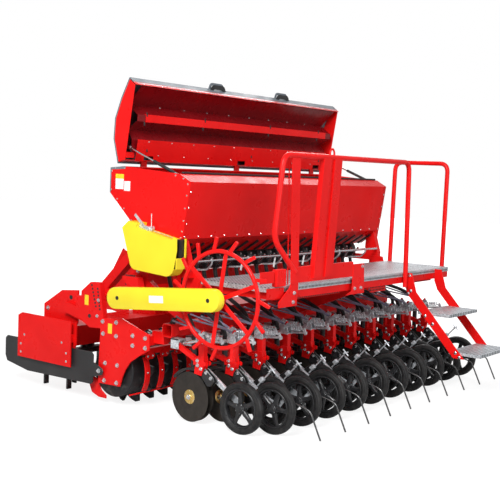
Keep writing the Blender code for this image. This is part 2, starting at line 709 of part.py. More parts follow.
def shields():
    low, high = SHIELD_OUT - SHIELD_T, SHIELD_OUT
    board = plate([(2.380, 0.210), (2.380, 0.341), (2.357, 0.361), (1.428, 0.362), (1.411, 0.345),
                   (1.411, 0.148), (1.429, 0.132), (2.116, 0.122), (2.358, 0.165)], low, high)
    blocks = [box((SIDE_X + 0.008 + GAP, y, 0.240), (low + 0.002, y + 0.060, 0.300)) for y in (1.740, 2.100)]
    mesh = fused([board] + blocks)
    other = mirrored(mesh)
    add_node("side_shield_right", mesh, "black_steel")
    add_node("side_shield_left", other, "black_steel")


def levelling_bar():
    bar_mesh = plate([(1.730, 0.035), (1.742, 0.030), (1.765, 0.060), (1.775, 0.150), (1.775, 0.185),
                      (1.763, 0.185), (1.763, 0.150), (1.753, 0.066)], -SIDE_X + 0.060, SIDE_X - 0.060)
    hangers = []
    for x in (-1.20, -0.40, 0.40, 1.20):
        hangers.append(plate([(1.762, 0.160), (1.800, 0.160), (1.822, TROUGH_Z0 - GAP),
                              (1.812, TROUGH_Z0 - GAP)], x - 0.020, x + 0.020))
    add_node("levelling_bar", fused([bar_mesh] + hangers), "red_paint")


def headstock():
    """Three-point hitch: two uprights with the lower link ears, and the top link's."""
    upright = plate([(HITCH_FRONT, LINK_Z - 0.060), (HITCH_FRONT, LINK_Z + 0.050),
                     (TOP_LINK_Y - 0.100, 1.000), (ROTOR_Y + 0.100, 0.900), (ROTOR_Y + 0.100, 0.560 + GAP),
                     (ROTOR_Y + TROUGH_HALF + GAP, 0.560 + GAP), (ROTOR_Y + TROUGH_HALF + GAP, 0.430),
                     (HITCH_FRONT - 0.150, LINK_Z - 0.060)],
                    LINK_HALF - 0.015, LINK_HALF)
    upright_in = plate([(HITCH_FRONT, LINK_Z - 0.060), (HITCH_FRONT, LINK_Z + 0.050),
                        (LINK_Y - 0.090, LINK_Z + 0.120), (LINK_Y - 0.130, LINK_Z - 0.020)],
                       LINK_HALF - 0.095, LINK_HALF - 0.080)
    pin = rod((LINK_HALF - 0.110, LINK_Y, LINK_Z), (LINK_HALF + 0.030, LINK_Y, LINK_Z), 0.014, 8)
    ear = plate([(TOP_LINK_Y + 0.040, TOP_LINK_Z - 0.040), (TOP_LINK_Y + 0.040, TOP_LINK_Z + 0.040),
                 (TOP_LINK_Y - 0.060, TOP_LINK_Z + 0.040), (ROTOR_Y + 0.140, 0.960), (ROTOR_Y + 0.140, 0.900),
                 (TOP_LINK_Y - 0.080, 0.940)], 0.035, 0.050)
    cross = box((-LINK_HALF, ROTOR_Y + 0.140, 0.900), (LINK_HALF, ROTOR_Y + 0.220, 0.980))
    tie = box((-LINK_HALF, HITCH_FRONT - 0.180, 0.550), (LINK_HALF, HITCH_FRONT - 0.120, 0.610))
    add_node("headstock", fused([cross, tie] + both_sides([upright, upright_in, pin, ear])), "red_paint")


# Land wheel and case, gear cover

def land_wheel_centre():
    a = math.radians(CASE_LIFT)
    return (CASE_PIVOT[0] - CASE_LENGTH * math.cos(a), CASE_PIVOT[1] + CASE_LENGTH * math.sin(a))


def land_wheel():
    cy, cz = land_wheel_centre()
    rim = cut(plate(ring_outline((cy, cz), LAND_R + 0.011, 24), LAND_X - 0.011, LAND_X + 0.011),
              [plate(ring_outline((cy, cz), LAND_R - 0.011, 24), LAND_X - 0.020, LAND_X + 0.020)])
    shapes = [rim, rod((CASE_OUT + CASE_T + GAP, cy, cz), (LAND_X + 0.030, cy, cz), 0.035, 10)]
    for k in range(6):
        a = math.radians(60 * k + 38)
        shapes.append(bar((LAND_X, cy + 0.02 * math.cos(a), cz + 0.02 * math.sin(a)),
                          (LAND_X, cy + LAND_R * math.cos(a), cz + LAND_R * math.sin(a)), 0.010, 0.022))
    for k in range(LAND_PEGS):
        a = 2 * math.pi * k / LAND_PEGS
        b = a + 0.10
        shapes.append(bar((LAND_X, cy + LAND_R * math.cos(a), cz + LAND_R * math.sin(a)),
                          (LAND_X, cy + 0.395 * math.cos(b), cz + 0.395 * math.sin(b)), 0.018, 0.018))
    add_node("land_wheel", fused(shapes), "red_paint", (LAND_X, cy, cz))


def chain_case():
    cy, cz = land_wheel_centre()
    py, pz = CASE_PIVOT
    lift = math.radians(CASE_LIFT)
    outline = []
    for k in range(9):
        a = -math.pi / 2 + math.pi * k / 8 - lift
        outline.append((py + CASE_R * math.cos(a), pz + CASE_R * math.sin(a)))
    for k in range(9):
        a = math.pi / 2 + math.pi * k / 8 - lift
        outline.append((cy + CASE_R * math.cos(a), cz + CASE_R * math.sin(a)))
    case = plate(outline, CASE_OUT, CASE_OUT + CASE_T)
    shaft = rod((CASE_OUT + CASE_T - 0.01, py, pz), (-HALF_W - 0.070, py, pz), 0.025, 10)
    add_node("chain_case", fused([case, shaft]), "yellow_guard", (CASE_OUT, py, pz))


def gear_cover():
    outline = [(1.270, 1.275), (0.750, 1.180), (0.748, 1.080)]
    for k in range(5):
        a = math.radians(0 - 90 * k / 4)
        outline.append((0.838 - 0.090 * math.cos(a), 1.040 + 0.090 * math.sin(a)))
    outline += [(1.110, 0.985), (1.160, 1.000), (1.190, 1.040)]
    face = -HALF_W - 0.100
    hollow = [(1.255, 1.269), (1.180, 1.045), (1.155, 1.010), (1.110, 0.995), (0.845, 0.962), (0.785, 0.990),
              (0.760, 1.040), (0.740, 1.080), (0.740, 1.300), (1.255, 1.300)]
    gears = [(1.200, 1.200), (1.150, 1.060), (0.880, 1.030), (0.800, 1.080), (0.800, 1.130)]
    cover = cut(plate(outline, face, -HALF_W - GAP), [plate(hollow, face + 0.005, -HALF_W + 0.010)])
    inside = plate(gears, face + 0.003, -HALF_W - GAP)
    add_node("gear_cover", fused([cover, inside]), "yellow_guard")


# Platform, steps and rails

def platform():
    deck = box((DECK_X0, DECK_Y0, DECK_Z - DECK_T), (DECK_X1, DECK_Y1, DECK_Z))
    add_node("platform", deck, "galvanised")


def platform_bearers():
    """Red bearers under the deck, from the frame's sides and the carrier beam."""
    top = DECK_Z - DECK_T - GAP
    inner = HALF_W - 0.080 - GAP
    front = CARRIER_Y - CARRIER_S / 2 - GAP
    side = [(0.060, top - 0.050), (0.800, top - 0.050), (0.800, 0.985), (0.680, 0.985), (0.660, top),
            (0.060, top)]
    shapes = both_sides([plate(side, inner - 0.010, inner)])
    shapes.append(box((-inner, 0.050, top - 0.050), (inner, 0.090, top)))
    shapes.append(plate([(0.055, top), (0.055, top - 0.050), (front, 0.580), (front, 0.620), (0.640, top)],
                        -0.015, 0.015))
    add_node("platform_bearers", fused(shapes), "red_paint")


def hand_rails():
    y = DECK_Y0 - RAIL_R - GAP
    near = DECK_X0 + 0.270
    rail = tube(bent([(near, y, 0.925), (near, y, 1.020), (DECK_X0, y, 1.250), (DECK_X0 + 0.040, y, RAIL_TOP),
                      (0.430, y, RAIL_TOP), (0.465, y, 0.830)], 0.070), RAIL_R, 1)
    post = box((-0.770, y - 0.018, 0.860), (-0.680, y + RAIL_R, RAIL_TOP - 0.005))
    toe = box((near + 0.005, y - 0.004, 0.955), (-0.020, y + 0.004, 1.050))
    flat = box((near - 0.030, y - 0.010, 0.780), (near + 0.055, y - 0.003, RAIL_TOP - 0.010))
    add_node("rear_rail", fused([rail, post, toe, flat]), "red_paint")
    x = DECK_X1 + RAIL_R + GAP
    far = tube(bent([(x, 0.620, 0.900), (x, 0.610, RAIL_TOP + 0.015), (x, 0.110, RAIL_TOP + 0.015),
                     (x, 0.115, 0.900)], 0.070), RAIL_R, 1)
    add_node("end_rail", far, "red_paint")


def ladder():
    for name, x in (("left", LADDER_X0 - 0.010), ("right", LADDER_X1)):
        side = plate([(DECK_Y0 - GAP, DECK_Z - 0.005), (DECK_Y0 - GAP, 0.780), (-0.400, 0.330),
                      (-0.490, 0.330), (-0.060, 0.780), (-0.015, DECK_Z - 0.005)], x, x + 0.010)
        add_node(f"ladder_side_{name}", side, "red_paint")
    for name, y0, y1, z in STEPS:
        add_node(f"step_{name}", box((LADDER_X0 + GAP, y0, z - 0.025), (LADDER_X1 - GAP, y1, z)), "galvanised")


press_wheels()
coulter_gang()
drill_frame()
hopper()
lid()
lid_struts()
metering()
roller()
roller_frame()
scrapers()
harrow()
rotors()
shields()
levelling_bar()
headstock()
land_wheel()
chain_case()
gear_cover()
platform()
platform_bearers()
hand_rails()
ladder()
bpy.data.collections.remove(WORK)
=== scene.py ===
"""Looks of the three-metre seed drill: finishes, rounded pieces, bolts and small fittings.

Shapes are worked out in the machine's own places, in metres: X from the machine's middle to
its right, Y from the rear press wheels' axles towards the tractor, Z from the ground. SHIFT
carries them into the frame. A shape is (points, groups of faces), each group of one size.
"""

import bmesh
import bpy
import numpy as np
from mathutils import Matrix, Vector

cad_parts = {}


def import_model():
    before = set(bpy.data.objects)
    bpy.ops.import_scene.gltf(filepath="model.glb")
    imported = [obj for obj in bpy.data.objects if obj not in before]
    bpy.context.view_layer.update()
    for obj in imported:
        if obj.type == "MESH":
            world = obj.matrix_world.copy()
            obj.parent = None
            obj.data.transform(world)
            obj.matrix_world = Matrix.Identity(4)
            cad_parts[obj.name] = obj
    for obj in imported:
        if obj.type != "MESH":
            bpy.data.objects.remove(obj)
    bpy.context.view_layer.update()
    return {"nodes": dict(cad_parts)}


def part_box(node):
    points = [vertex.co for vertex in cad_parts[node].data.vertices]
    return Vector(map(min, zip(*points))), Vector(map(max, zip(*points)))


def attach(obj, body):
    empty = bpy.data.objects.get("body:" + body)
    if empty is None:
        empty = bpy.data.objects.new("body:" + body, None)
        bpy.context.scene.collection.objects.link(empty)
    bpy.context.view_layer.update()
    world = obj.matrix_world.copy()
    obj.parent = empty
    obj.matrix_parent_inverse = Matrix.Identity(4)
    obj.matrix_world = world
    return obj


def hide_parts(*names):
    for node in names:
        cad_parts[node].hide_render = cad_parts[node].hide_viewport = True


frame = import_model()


def middle_of(node):
    low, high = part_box(node)
    return (np.array(low) + np.array(high)) / 2


SHIFT = np.array([middle_of("hopper")[0], middle_of("press_wheel_rear_01")[1], 0.0])

# Directions
LEFT, RIGHT, REARWARD, AHEAD, UP = (-1, 0, 0), (1, 0, 0), (0, -1, 0), (0, 1, 0), (0, 0, 1)

# Sizes that the CAD model also has
ROWS, PITCH, STAGGER = 10, 0.3, 0.144
REAR_X0, FRONT_X0 = -1.275, -1.425
WHEEL_R = 0.17
HUB_HALF = 0.0335
DISC_R, DISC_AHEAD, DISC_Z = 0.168, 0.425, 0.175
TUBE_SIDE, TUBE_AHEAD, LINK_FRONT_Y = 0.036, 0.446, 0.705
CARRIER_Y, CARRIER_Z, CARRIER_S, CARRIER_HALF = 0.775, 0.595, 0.09, 1.46
HALF_W = 1.33
FEED_HALF = 1.215
DECK_Z, DECK_T = 0.95, 0.035
DECK_X0, DECK_X1, DECK_Y0, DECK_Y1 = -1.29, 1.25, 0.045, 0.64
RAIL_R, RAIL_TOP = 0.019, 1.805
ROLLER_Y, ROLLER_R, DRUM_R, ROLLER_HALF = 1.26, 0.25, 0.19, 1.47
ROLLER_MIDDLE = (0.0, ROLLER_Y, ROLLER_R)
SCRAPERS, RING_PITCH, TEETH = 20, 0.147, 10
SIDE_OUT = 1.505
END_OUT = 1.555
LAND_X, LAND_R = -1.52, 0.31
CASE_OUT, CASE_T, CASE_R = -1.62, 0.062, 0.074
RIM_TUBE = 0.014
CASE_PIVOT = np.array([1.127, 0.79])
LAND_AXLE = np.array([0.28435, 0.86521])
LID_HINGE = np.array([1.385, 1.746])
LID_OPEN = np.radians(85.5)
LID_TOP = ((0.04, 0.034), (-0.132, 0.095), (-0.279, 0.097), (-0.431, 0.05), (-0.575, -0.013))
LID_EDGE = ((-0.531, -0.0815), (0.0146, -0.0433))
LID_HANDLES = (-0.369, 0.5)
STRUT_FOOT, STRUT_X, STRUT_ON_LID = (0.869, 1.64), 1.28, (-0.083, -0.0225)
LADDER_X0, LADDER_X1 = 0.5, 1.0
STEPS = ((-0.35, -0.08, 0.655), (-0.62, -0.36, 0.38))     # rear, front, top
LAND_PEGS = 15

WHEEL_SIDE = HUB_HALF + 0.0004              # inner face of what stands beside a press wheel
HARROW_SIDE, FRAME_SIDE, SHIELD_SIDE = -1.497, -1.4547, -1.529      # outer faces on the left
BETWEEN_SIDES = 1.4945                      # half the room between the roller's side plates
CASE_SKIN = CASE_OUT + 0.0008               # so that label and bolts stay inside the CAD's box
CASE_INNER = CASE_OUT + CASE_T

GAP = 0.0003            # between pieces that would touch
WELD = 2e-6             # points this close become one
FLOOR_HALF, FLOOR_DROP = 30.0, 0.0005

# Light and viewpoint
WHITE = (1.0, 1.0, 1.0, 1.0)
FLOOR_GLOW, FLOOR_SHARE = 1.42, (0.6, 0.98)    # its strength, its share near and far away
GLOW_NEAR, GLOW_FAR = 3.0, 6.5
SKY_LIGHT, SKY_MIRRORED = 0.24, 0.45            # against 1 where the sky itself is seen
LAMPS = {"key": ((-6.5, -1.5, 5.5), 3.0, 650.0), "fill": ((-2.0, -7.0, 3.0), 4.0, 220.0),
         "far": ((6.0, 5.0, 6.0), 4.0, 300.0)}          # place, side, watts
LAMP_AIM = (0.0, 0.9, 0.9)
CAMERA_PLACE = (-6.297, -3.584, 1.682)
CAMERA_TURN, CAMERA_DIP, CAMERA_ROLL = np.radians([52.71, 4.57, 2.27])
SENSOR, FOCAL = 36.0, 971.0 / 500.0             # millimetres; focal length in picture widths


# Shapes

def unit(v):
    """Vectors along the last axis, each made one long."""
    return v / np.linalg.norm(v, axis=-1, keepdims=True)


def surface(grid, close_u=False, close_v=False):
    """Quads over a grid of points (n, m, 3); a closed way joins its last row to its first."""
    n, m = grid.shape[:2]
    u = np.arange(n if close_u else n - 1)
    v = np.arange(m if close_v else m - 1)
    a, b = np.meshgrid(u, v, indexing="ij")
    c, d = (a + 1) % n, (b + 1) % m
    quads = np.stack([a * m + b, c * m + b, c * m + d, a * m + d], -1).reshape(-1, 4)
    return grid.reshape(-1, 3), [quads]


def loft(rings):
    """Closed sections of like points (n, m, 3), joined in order, with both ends filled."""
    n, m = rings.shape[:2]
    points, groups = surface(rings, close_v=True)
    return points, groups + [np.arange(m)[::-1][None], (np.arange(m) + (n - 1) * m)[None]]


def gather(shapes):
    """One shape of several, each one's faces counted on from the points before it."""
    shapes = list(shapes)
    starts = np.cumsum([0] + [len(points) for points, _ in shapes])
    groups = [group + start for (_, faces), start in zip(shapes, starts) for group in faces]
    return np.concatenate([points for points, _ in shapes]), groups


def copies(places, groups):
    """One shape of several copies: points (copies, n, 3), and the faces of one."""
    k, n = places.shape[:2]
    steps = np.arange(k)[:, None, None] * n
    return places.reshape(-1, 3), [(group[None] + steps).reshape(-1, group.shape[1]) for group in groups]


def repeated(shape, moves):
    """The shape once for each move (k, 3)."""
    return copies(shape[0][None] + np.atleast_2d(moves)[:, None], shape[1])


def moved(shape, move):
    return shape[0] + np.asarray(move), shape[1]


def spun(shape, angles):
    """Copies turned about the X axis, one for each angle."""
    x, y, z = shape[0].T
    angles = np.atleast_1d(angles)[:, None]
    c, s = np.cos(angles), np.sin(angles)
    return copies(np.stack([x + 0 * angles, y * c - z * s, y * s + z * c], -1), shape[1])


def mirrored(shape):
    return shape[0] * [-1.0, 1.0, 1.0], shape[1]


def both_sides(*shapes):
    """The shapes on the left and, mirrored, on the right."""
    shape = gather(shapes)
    return gather([shape, mirrored(shape)])


def across_row(x):
    """Moves along X alone."""
    return np.column_stack([x, 0 * x, 0 * x])


def doubled(half):
    """Whole profile from its left half: the same points follow, mirrored and in the other order."""
    return np.concatenate([half, np.array(half)[::-1] * [1.0, -1.0]])


def turned(profile, sides, centre=(0.0, 0.0, 0.0), ring=False):
    """Profile of (radius, along) turned about X: y = radius cos a, z = radius sin a.

    It runs from axis to axis, or closes on itself where it is a ring.
    """
    radius, along = np.asarray(profile, float).T
    a = np.linspace(0.0, 2 * np.pi, sides, endpoint=False)
    x = np.broadcast_to(along[:, None], (len(radius), sides))
    grid = np.stack([x, radius[:, None] * np.cos(a), radius[:, None] * np.sin(a)], -1)
    return surface(grid + np.asarray(centre), close_u=ring, close_v=True)


def shrunk(outline, inset):
    """Outline moved inwards, each corner along its own mitre."""
    p = np.asarray(outline, float)
    back, ahead = unit(p - np.roll(p, 1, 0)), unit(np.roll(p, -1, 0) - p)
    area = np.sum(p[:, 0] * np.roll(p[:, 1], -1) - p[:, 1] * np.roll(p[:, 0], -1))
    turn = np.sign(area) * np.array([-1.0, 1.0])
    one, two = back[:, ::-1] * turn, ahead[:, ::-1] * turn
    return p + inset * (one + two) / (1.0 + np.sum(one * two, 1, keepdims=True))


def prism(outline, low, high, edge=0.0015):
    """Outline in (Y, Z) from X = low to high, with its edges broken by a chamfer."""
    inner, outer = shrunk(outline, edge), np.asarray(outline, float)
    steps = ((low, inner), (low + edge, outer), (high - edge, outer), (high, inner))
    rings = [np.column_stack([np.full(len(flat), x), flat]) for x, flat in steps]
    return loft(np.array(rings))


def corners_cut(y0, z0, y1, z1, cut):
    """Rectangle's outline with each corner cut at 45 degrees."""
    return [(y0 + cut, z0), (y1 - cut, z0), (y1, z0 + cut), (y1, z1 - cut), (y1 - cut, z1),
            (y0 + cut, z1), (y0, z1 - cut), (y0, z0 + cut)]


def block(low, high, edge=0.0015):
    """Box between two corners with all its edges broken."""
    outline = corners_cut(low[1], low[2], high[1], high[2], edge)
    return prism(outline, low[0], high[0], edge)


def arc(centre, radius, first, last, steps):
    """Points (y, z) on an arc, angles in degrees from +Y towards +Z."""
    a = np.radians(np.linspace(first, last, steps))
    return np.stack([centre[0] + radius * np.cos(a), centre[1] + radius * np.sin(a)], 1)


def swept(path, section, up):
    """Closed section (side, up) carried along a path; side is across the path and up."""
    path = np.asarray(path, float)
    ahead = unit(np.gradient(path, axis=0))
    side = unit(np.cross(ahead, up))
    above = np.cross(side, ahead)
    return loft(path[:, None] + side[:, None] * section[None, :, :1]
                + above[:, None] * section[None, :, 1:])


def circle(radius, sides):
    a = np.linspace(0.0, 2 * np.pi, sides, endpoint=False)
    return radius * np.stack([np.cos(a), np.sin(a)], 1)


def oblong(wide, thick):
    return np.array([(-wide, -thick), (wide, -thick), (wide, thick), (-wide, thick)]) / 2


def tube(path, radius, sides=12):
    """Round bar along a path that stays near one plane."""
    path = np.asarray(path, float)
    spread = np.linalg.svd(path - path.mean(0))[2]
    up = spread[2] if len(path) > 2 else np.eye(3)[np.argmin(np.abs(path[1] - path[0]))]
    return swept(path, circle(radius, sides), up)


def level(x0, x1, y0, y1, z):
    """Rectangle's corners at one height."""
    return [(x0, y0, z), (x1, y0, z), (x1, y1, z), (x0, y1, z)]


def flat_bar(start, end, wide, thick, up):
    """Rectangular bar between two points: wide across the path and up, thick along up."""
    return swept([start, end], oblong(wide, thick), up)


def cross_bar(half, y, z, radius, sides):
    """Round bar from -half to half along X."""
    return tube([(-half, y, z), (half, y, z)], radius, sides)


def rounded(corners, radius, steps=6):
    """Path through corners, each inner one turned into a smooth bend."""
    p = [np.asarray(c, float) for c in corners]
    out = [p[0][None]]
    t = np.linspace(0.0, 1.0, steps)[:, None]
    for before, here, after in zip(p, p[1:], p[2:]):
        inward, outward = unit(before - here) * radius, unit(after - here) * radius
        out.append(here + inward * (1 - t) ** 2 + outward * t ** 2)
    return np.concatenate(out + [p[-1][None]])


def spring(start, end, radius, wire, turns, sides=6):
    """Coil: a circle of the radius turns while it goes from start to end."""
    start, end = np.asarray(start, float), np.asarray(end, float)
    along = unit(end - start)
    side = unit(np.cross(along, np.eye(3)[np.argmin(np.abs(along))]))
    other = np.cross(along, side)
    t = np.linspace(0.0, 1.0, 9 * turns + 1)[:, None]
    a = 2 * np.pi * turns * t
    out = side * np.cos(a) + other * np.sin(a)
    path = start + (end - start) * t + radius * out
    c, s = circle(wire, sides).T[:, None, :, None]
    return loft(path[:, None] + c * out[:, None] + s * along)


def faced(shape, normal):
    """Shape built towards +X, turned to face along the normal."""
    turn = np.array(Vector(RIGHT).rotation_difference(Vector(normal)).to_matrix())
    return shape[0] @ turn.T, shape[1]


def bolts(places, normal, size=0.018):
    """Hexagon heads with washers; size is across the head, and places are on the surface."""
    washer = turned(size * np.array([(0.0, 0.0), (0.72, 0.0), (0.72, 0.1), (0.0, 0.1)]), 12)
    head = turned(size * np.array([(0.0, 0.0), (0.56, 0.0), (0.56, 0.5), (0.44, 0.62), (0.0, 0.62)]), 6)
    return repeated(faced(gather([washer, head]), normal), places)


def domes(places, normal, size=0.01):
    """Low round heads."""
    a = np.radians([0.0, 35.0, 65.0, 90.0])
    profile = np.stack([size * np.cos(a), size * 0.6 * np.sin(a)], 1)
    return repeated(faced(turned([(0.0, 0.0), *profile], 8), normal), places)


def placed(name, data):
    obj = bpy.data.objects.new(name, data)
    bpy.context.scene.collection.objects.link(obj)
    return obj


def plug(radius, thick, sides):
    """Flat round disc that stands on its place towards +X."""
    return turned([(0.0, 0.0), (radius, 0.0), (radius, thick), (0.0, thick)], sides)


def sheet_with_holes(outline, holes, low, high):
    """Flat outline in (Y, Z) with holes, filled as a flat curve and given its thickness."""
    curve = bpy.data.curves.new("sheet", "CURVE")
    curve.dimensions = "2D"
    curve.fill_mode = "BOTH"
    curve.extrude = (high - low) / 2
    for ring in (outline, *holes):
        spline = curve.splines.new("POLY")
        spline.points.add(len(ring) - 1)
        flat = np.column_stack([np.asarray(ring, float), np.zeros(len(ring)), np.ones(len(ring))])
        spline.points.foreach_set("co", flat.ravel())
        spline.use_cyclic_u = True
    obj = placed("sheet", curve)
    bpy.context.view_layer.update()
    mesh = bpy.data.meshes.new_from_object(obj.evaluated_get(bpy.context.evaluated_depsgraph_get()))
    points = np.empty(len(mesh.vertices) * 3)
    mesh.vertices.foreach_get("co", points)
    points = points.reshape(-1, 3)[:, [2, 0, 1]] + [(low + high) / 2, 0.0, 0.0]
    faces = [np.array([list(face.vertices)]) for face in mesh.polygons]
    bpy.data.objects.remove(obj, do_unlink=True)
    bpy.data.curves.remove(curve)
    bpy.data.meshes.remove(mesh)
    return points, faces


def piece(name, shape, material, body="machine", replaces=(), sharp=32.0):
    """The shape as an object that rides on a body, in the frame's own places."""
    points, groups = shape
    mesh = bpy.data.meshes.new(name)
    faces = [tuple(face) for group in groups for face in group.tolist()]
    mesh.from_pydata((points + SHIFT).tolist(), [], faces)
    bm = bmesh.new()
    bm.from_mesh(mesh)
    bmesh.ops.remove_doubles(bm, verts=bm.verts, dist=WELD)
    bmesh.ops.recalc_face_normals(bm, faces=bm.faces)
    bm.to_mesh(mesh)
    bm.free()
    mesh.shade_smooth()
    mesh.set_sharp_from_angle(angle=np.radians(sharp))
    mesh.materials.append(material)
    obj = placed(name, mesh)
    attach(obj, body)
    for node in replaces:
        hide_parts(node)


# Finishes


class Nodes:
    """A node tree and short ways to add to it."""

    def __init__(self, tree):
        self.tree = tree

    def feed(self, socket, value):
        """Links an input to another node's output, or sets it to a plain value."""
        if isinstance(value, bpy.types.NodeSocket):
            self.tree.links.new(value, socket)
        else:
            socket.default_value = value

    def add(self, kind, inputs, **settings):
        """Outputs of a new node with these inputs, by name or number."""
        node = self.tree.nodes.new(kind)
        for key, value in settings.items():
            setattr(node, key, value)
        for key, value in inputs.items():
            self.feed(node.inputs[key], value)
        return node.outputs

    def ramp(self, value, low, high, first=0.0, last=1.0):
        """Value carried from low..high to first..last, and held there outside."""
        return self.add("ShaderNodeMapRange", {"Value": value, "From Min": low, "From Max": high,
                                               "To Min": first, "To Max": last})["Result"]

    def maths(self, operation, *values):
        return self.add("ShaderNodeMath", dict(enumerate(values)), operation=operation)["Value"]


class Finish(Nodes):
    """Nodes of one material: a pattern on Object coordinates drives colour, gloss and bump."""

    def __init__(self, name, metal=0.0, specular=0.5):
        self.material = bpy.data.materials.new(name)
        self.material.use_nodes = True
        super().__init__(self.material.node_tree)
        self.shader = self.tree.nodes["Principled BSDF"]
        self.feed(self.shader.inputs["Metallic"], metal)
        self.feed(self.shader.inputs["Specular IOR Level"], specular)
        self.place = self.add("ShaderNodeTexCoord", {})["Object"]

    def noise(self, scale, detail, stretch=None):
        """Noise on Object coordinates, which may be scaled by (x, y, z) first."""
        place = self.place
        if stretch:
            place = self.add("ShaderNodeMapping", {"Scale": stretch, "Vector": place})["Vector"]
        return self.add("ShaderNodeTexNoise", {"Scale": scale, "Detail": detail, "Vector": place})["Fac"]

    def grain(self, scale, detail, low, high, first=0.0, last=1.0):
        """Noise between low and high, carried to first..last."""
        return self.ramp(self.noise(scale, detail), low, high, first, last)

    def cells(self, scale, out):
        return self.add("ShaderNodeTexVoronoi", {"Scale": scale, "Vector": self.place})[out]

    def blend(self, share, one, two):
        """Colour one where share is 0, two where it is 1."""
        one, two = ((*value, 1.0) if isinstance(value, tuple) else value for value in (one, two))
        return self.add("ShaderNodeMix", {"Factor": share, "A": one, "B": two}, data_type="RGBA")["Result"]

    def done(self, colour, rough, height=None, distance=0.0, strength=0.0):
        """The material, with its colour, gloss and bump in place."""
        self.feed(self.shader.inputs["Base Color"], colour)
        self.feed(self.shader.inputs["Roughness"], rough)
        if height is not None:
            bump = self.add("ShaderNodeBump", {"Strength": strength, "Distance": distance, "Height": height})
            self.feed(self.shader.inputs["Normal"], bump["Normal"])
        return self.material


def painted(name, colour, deep, rough, specular):
    """Sprayed paint: broad clouds of tone, dust speckle and orange peel."""
    f = Finish(name, specular=specular)
    tone = f.blend(f.grain(2.3, 2.0, 0.35, 0.65), colour, deep)
    speck = f.maths("MULTIPLY", f.grain(420.0, 2.0, 0.7, 0.82), 0.35)
    dusty = tuple(0.75 * c + 0.06 for c in colour)
    return f.done(f.blend(speck, tone, dusty), f.grain(9.0, 4.0, 0.3, 0.7, rough - 0.06, rough + 0.1),
                  f.noise(160.0, 1.0), 0.0004, 0.18)


def grained(name, metal, specular, clouds, one, two, gloss, relief=None, stretch=None):
    """Colour one to two over clouds (scale, detail, low, high), and noise in gloss and relief."""
    f = Finish(name, metal, specular)
    colour = f.blend(f.grain(*clouds), one, two)
    scale, detail, first, last = gloss
    rough = f.grain(scale, detail, 0.3, 0.7, first, last)
    if relief is None:
        return f.done(colour, rough)
    scale, detail, distance, strength = relief
    return f.done(colour, rough, f.noise(scale, detail, stretch), distance, strength)


def hose_rubber():
    """Black hose with fine ribs around it."""
    f = Finish("hose_rubber", specular=0.4)
    ribs = f.add("ShaderNodeTexWave", {"Scale": 60.0, "Vector": f.place}, bands_direction="Z")["Fac"]
    colour = f.blend(f.grain(40.0, 3.0, 0.3, 0.7), (0.01, 0.01, 0.011), (0.026, 0.026, 0.028))
    return f.done(colour, 0.42, ribs, 0.0015, 0.6)


def zinc_coat():
    """Hot-dip zinc: crystal flowers of differing grey, dull between them."""
    f = Finish("zinc_coat", metal=0.5)
    flower = f.add("ShaderNodeSeparateColor", {"Color": f.cells(95.0, "Color")})["Red"]
    shade = f.maths("ADD", f.maths("MULTIPLY", flower, 0.6), f.maths("MULTIPLY", f.noise(12.0, 4.0), 0.5))
    colour = f.blend(f.ramp(shade, 0.2, 0.9), (0.44, 0.47, 0.5), (0.8, 0.83, 0.87))
    return f.done(colour, f.ramp(shade, 0.2, 0.9, 0.26, 0.42), f.cells(95.0, "Distance"), 0.0008, 0.15)


def label(name, colour):
    """Blank plastic film, faintly aged."""
    f = Finish(name, specular=0.4)
    aged = tuple(c * 0.86 for c in colour)
    colour = f.blend(f.grain(60.0, 3.0, 0.4, 0.7), colour, aged)
    return f.done(colour, 0.35, f.noise(300.0, 1.0), 0.0001, 0.1)


def punched(f, pitch, share, across=("X", "Y")):
    """1 inside round holes on a square grid along two axes."""
    split = f.add("ShaderNodeSeparateXYZ", {"Vector": f.place})
    one, two = (f.maths("COSINE", f.maths("MULTIPLY", split[way], 2 * np.pi / pitch)) for way in across)
    return f.ramp(f.maths("MULTIPLY", f.maths("ADD", one, two), 0.5), share, share + 0.08)


def deck_grating():
    """Zinc tread plate: rows of punched holes with raised rims, the holes painted near-black as shade seen
    through them.
    """
    f = Finish("deck_grating", metal=0.45)
    hole, rim = punched(f, 0.03, 0.45), punched(f, 0.03, 0.15)
    zinc = f.blend(f.grain(26.0, 4.0, 0.3, 0.7), (0.44, 0.47, 0.5), (0.66, 0.7, 0.74))
    relief = f.maths("SUBTRACT", rim, f.maths("MULTIPLY", hole, 2.0))
    # Holes near-black: painted shade, for the dark below the tread seen through them.
    return f.done(f.blend(hole, zinc, (0.02, 0.02, 0.022)), f.grain(40.0, 3.0, 0.3, 0.7, 0.32, 0.5),
                  relief, 0.0035, 0.9)


def red_mesh():
    """Perforated red sheet that stands in X and Z: round holes painted near-black as the shade behind the
    sheet.
    """
    f = Finish("red_mesh", specular=0.3)
    hole = punched(f, 0.022, 0.2, ("X", "Z"))
    # Holes near-black: painted shade behind the sheet.
    return f.done(f.blend(hole, (0.62, 0.01, 0.008), (0.01, 0.006, 0.006)),
                  f.grain(20.0, 3.0, 0.3, 0.7, 0.35, 0.5), f.maths("SUBTRACT", 1.0, hole), 0.002, 0.7)


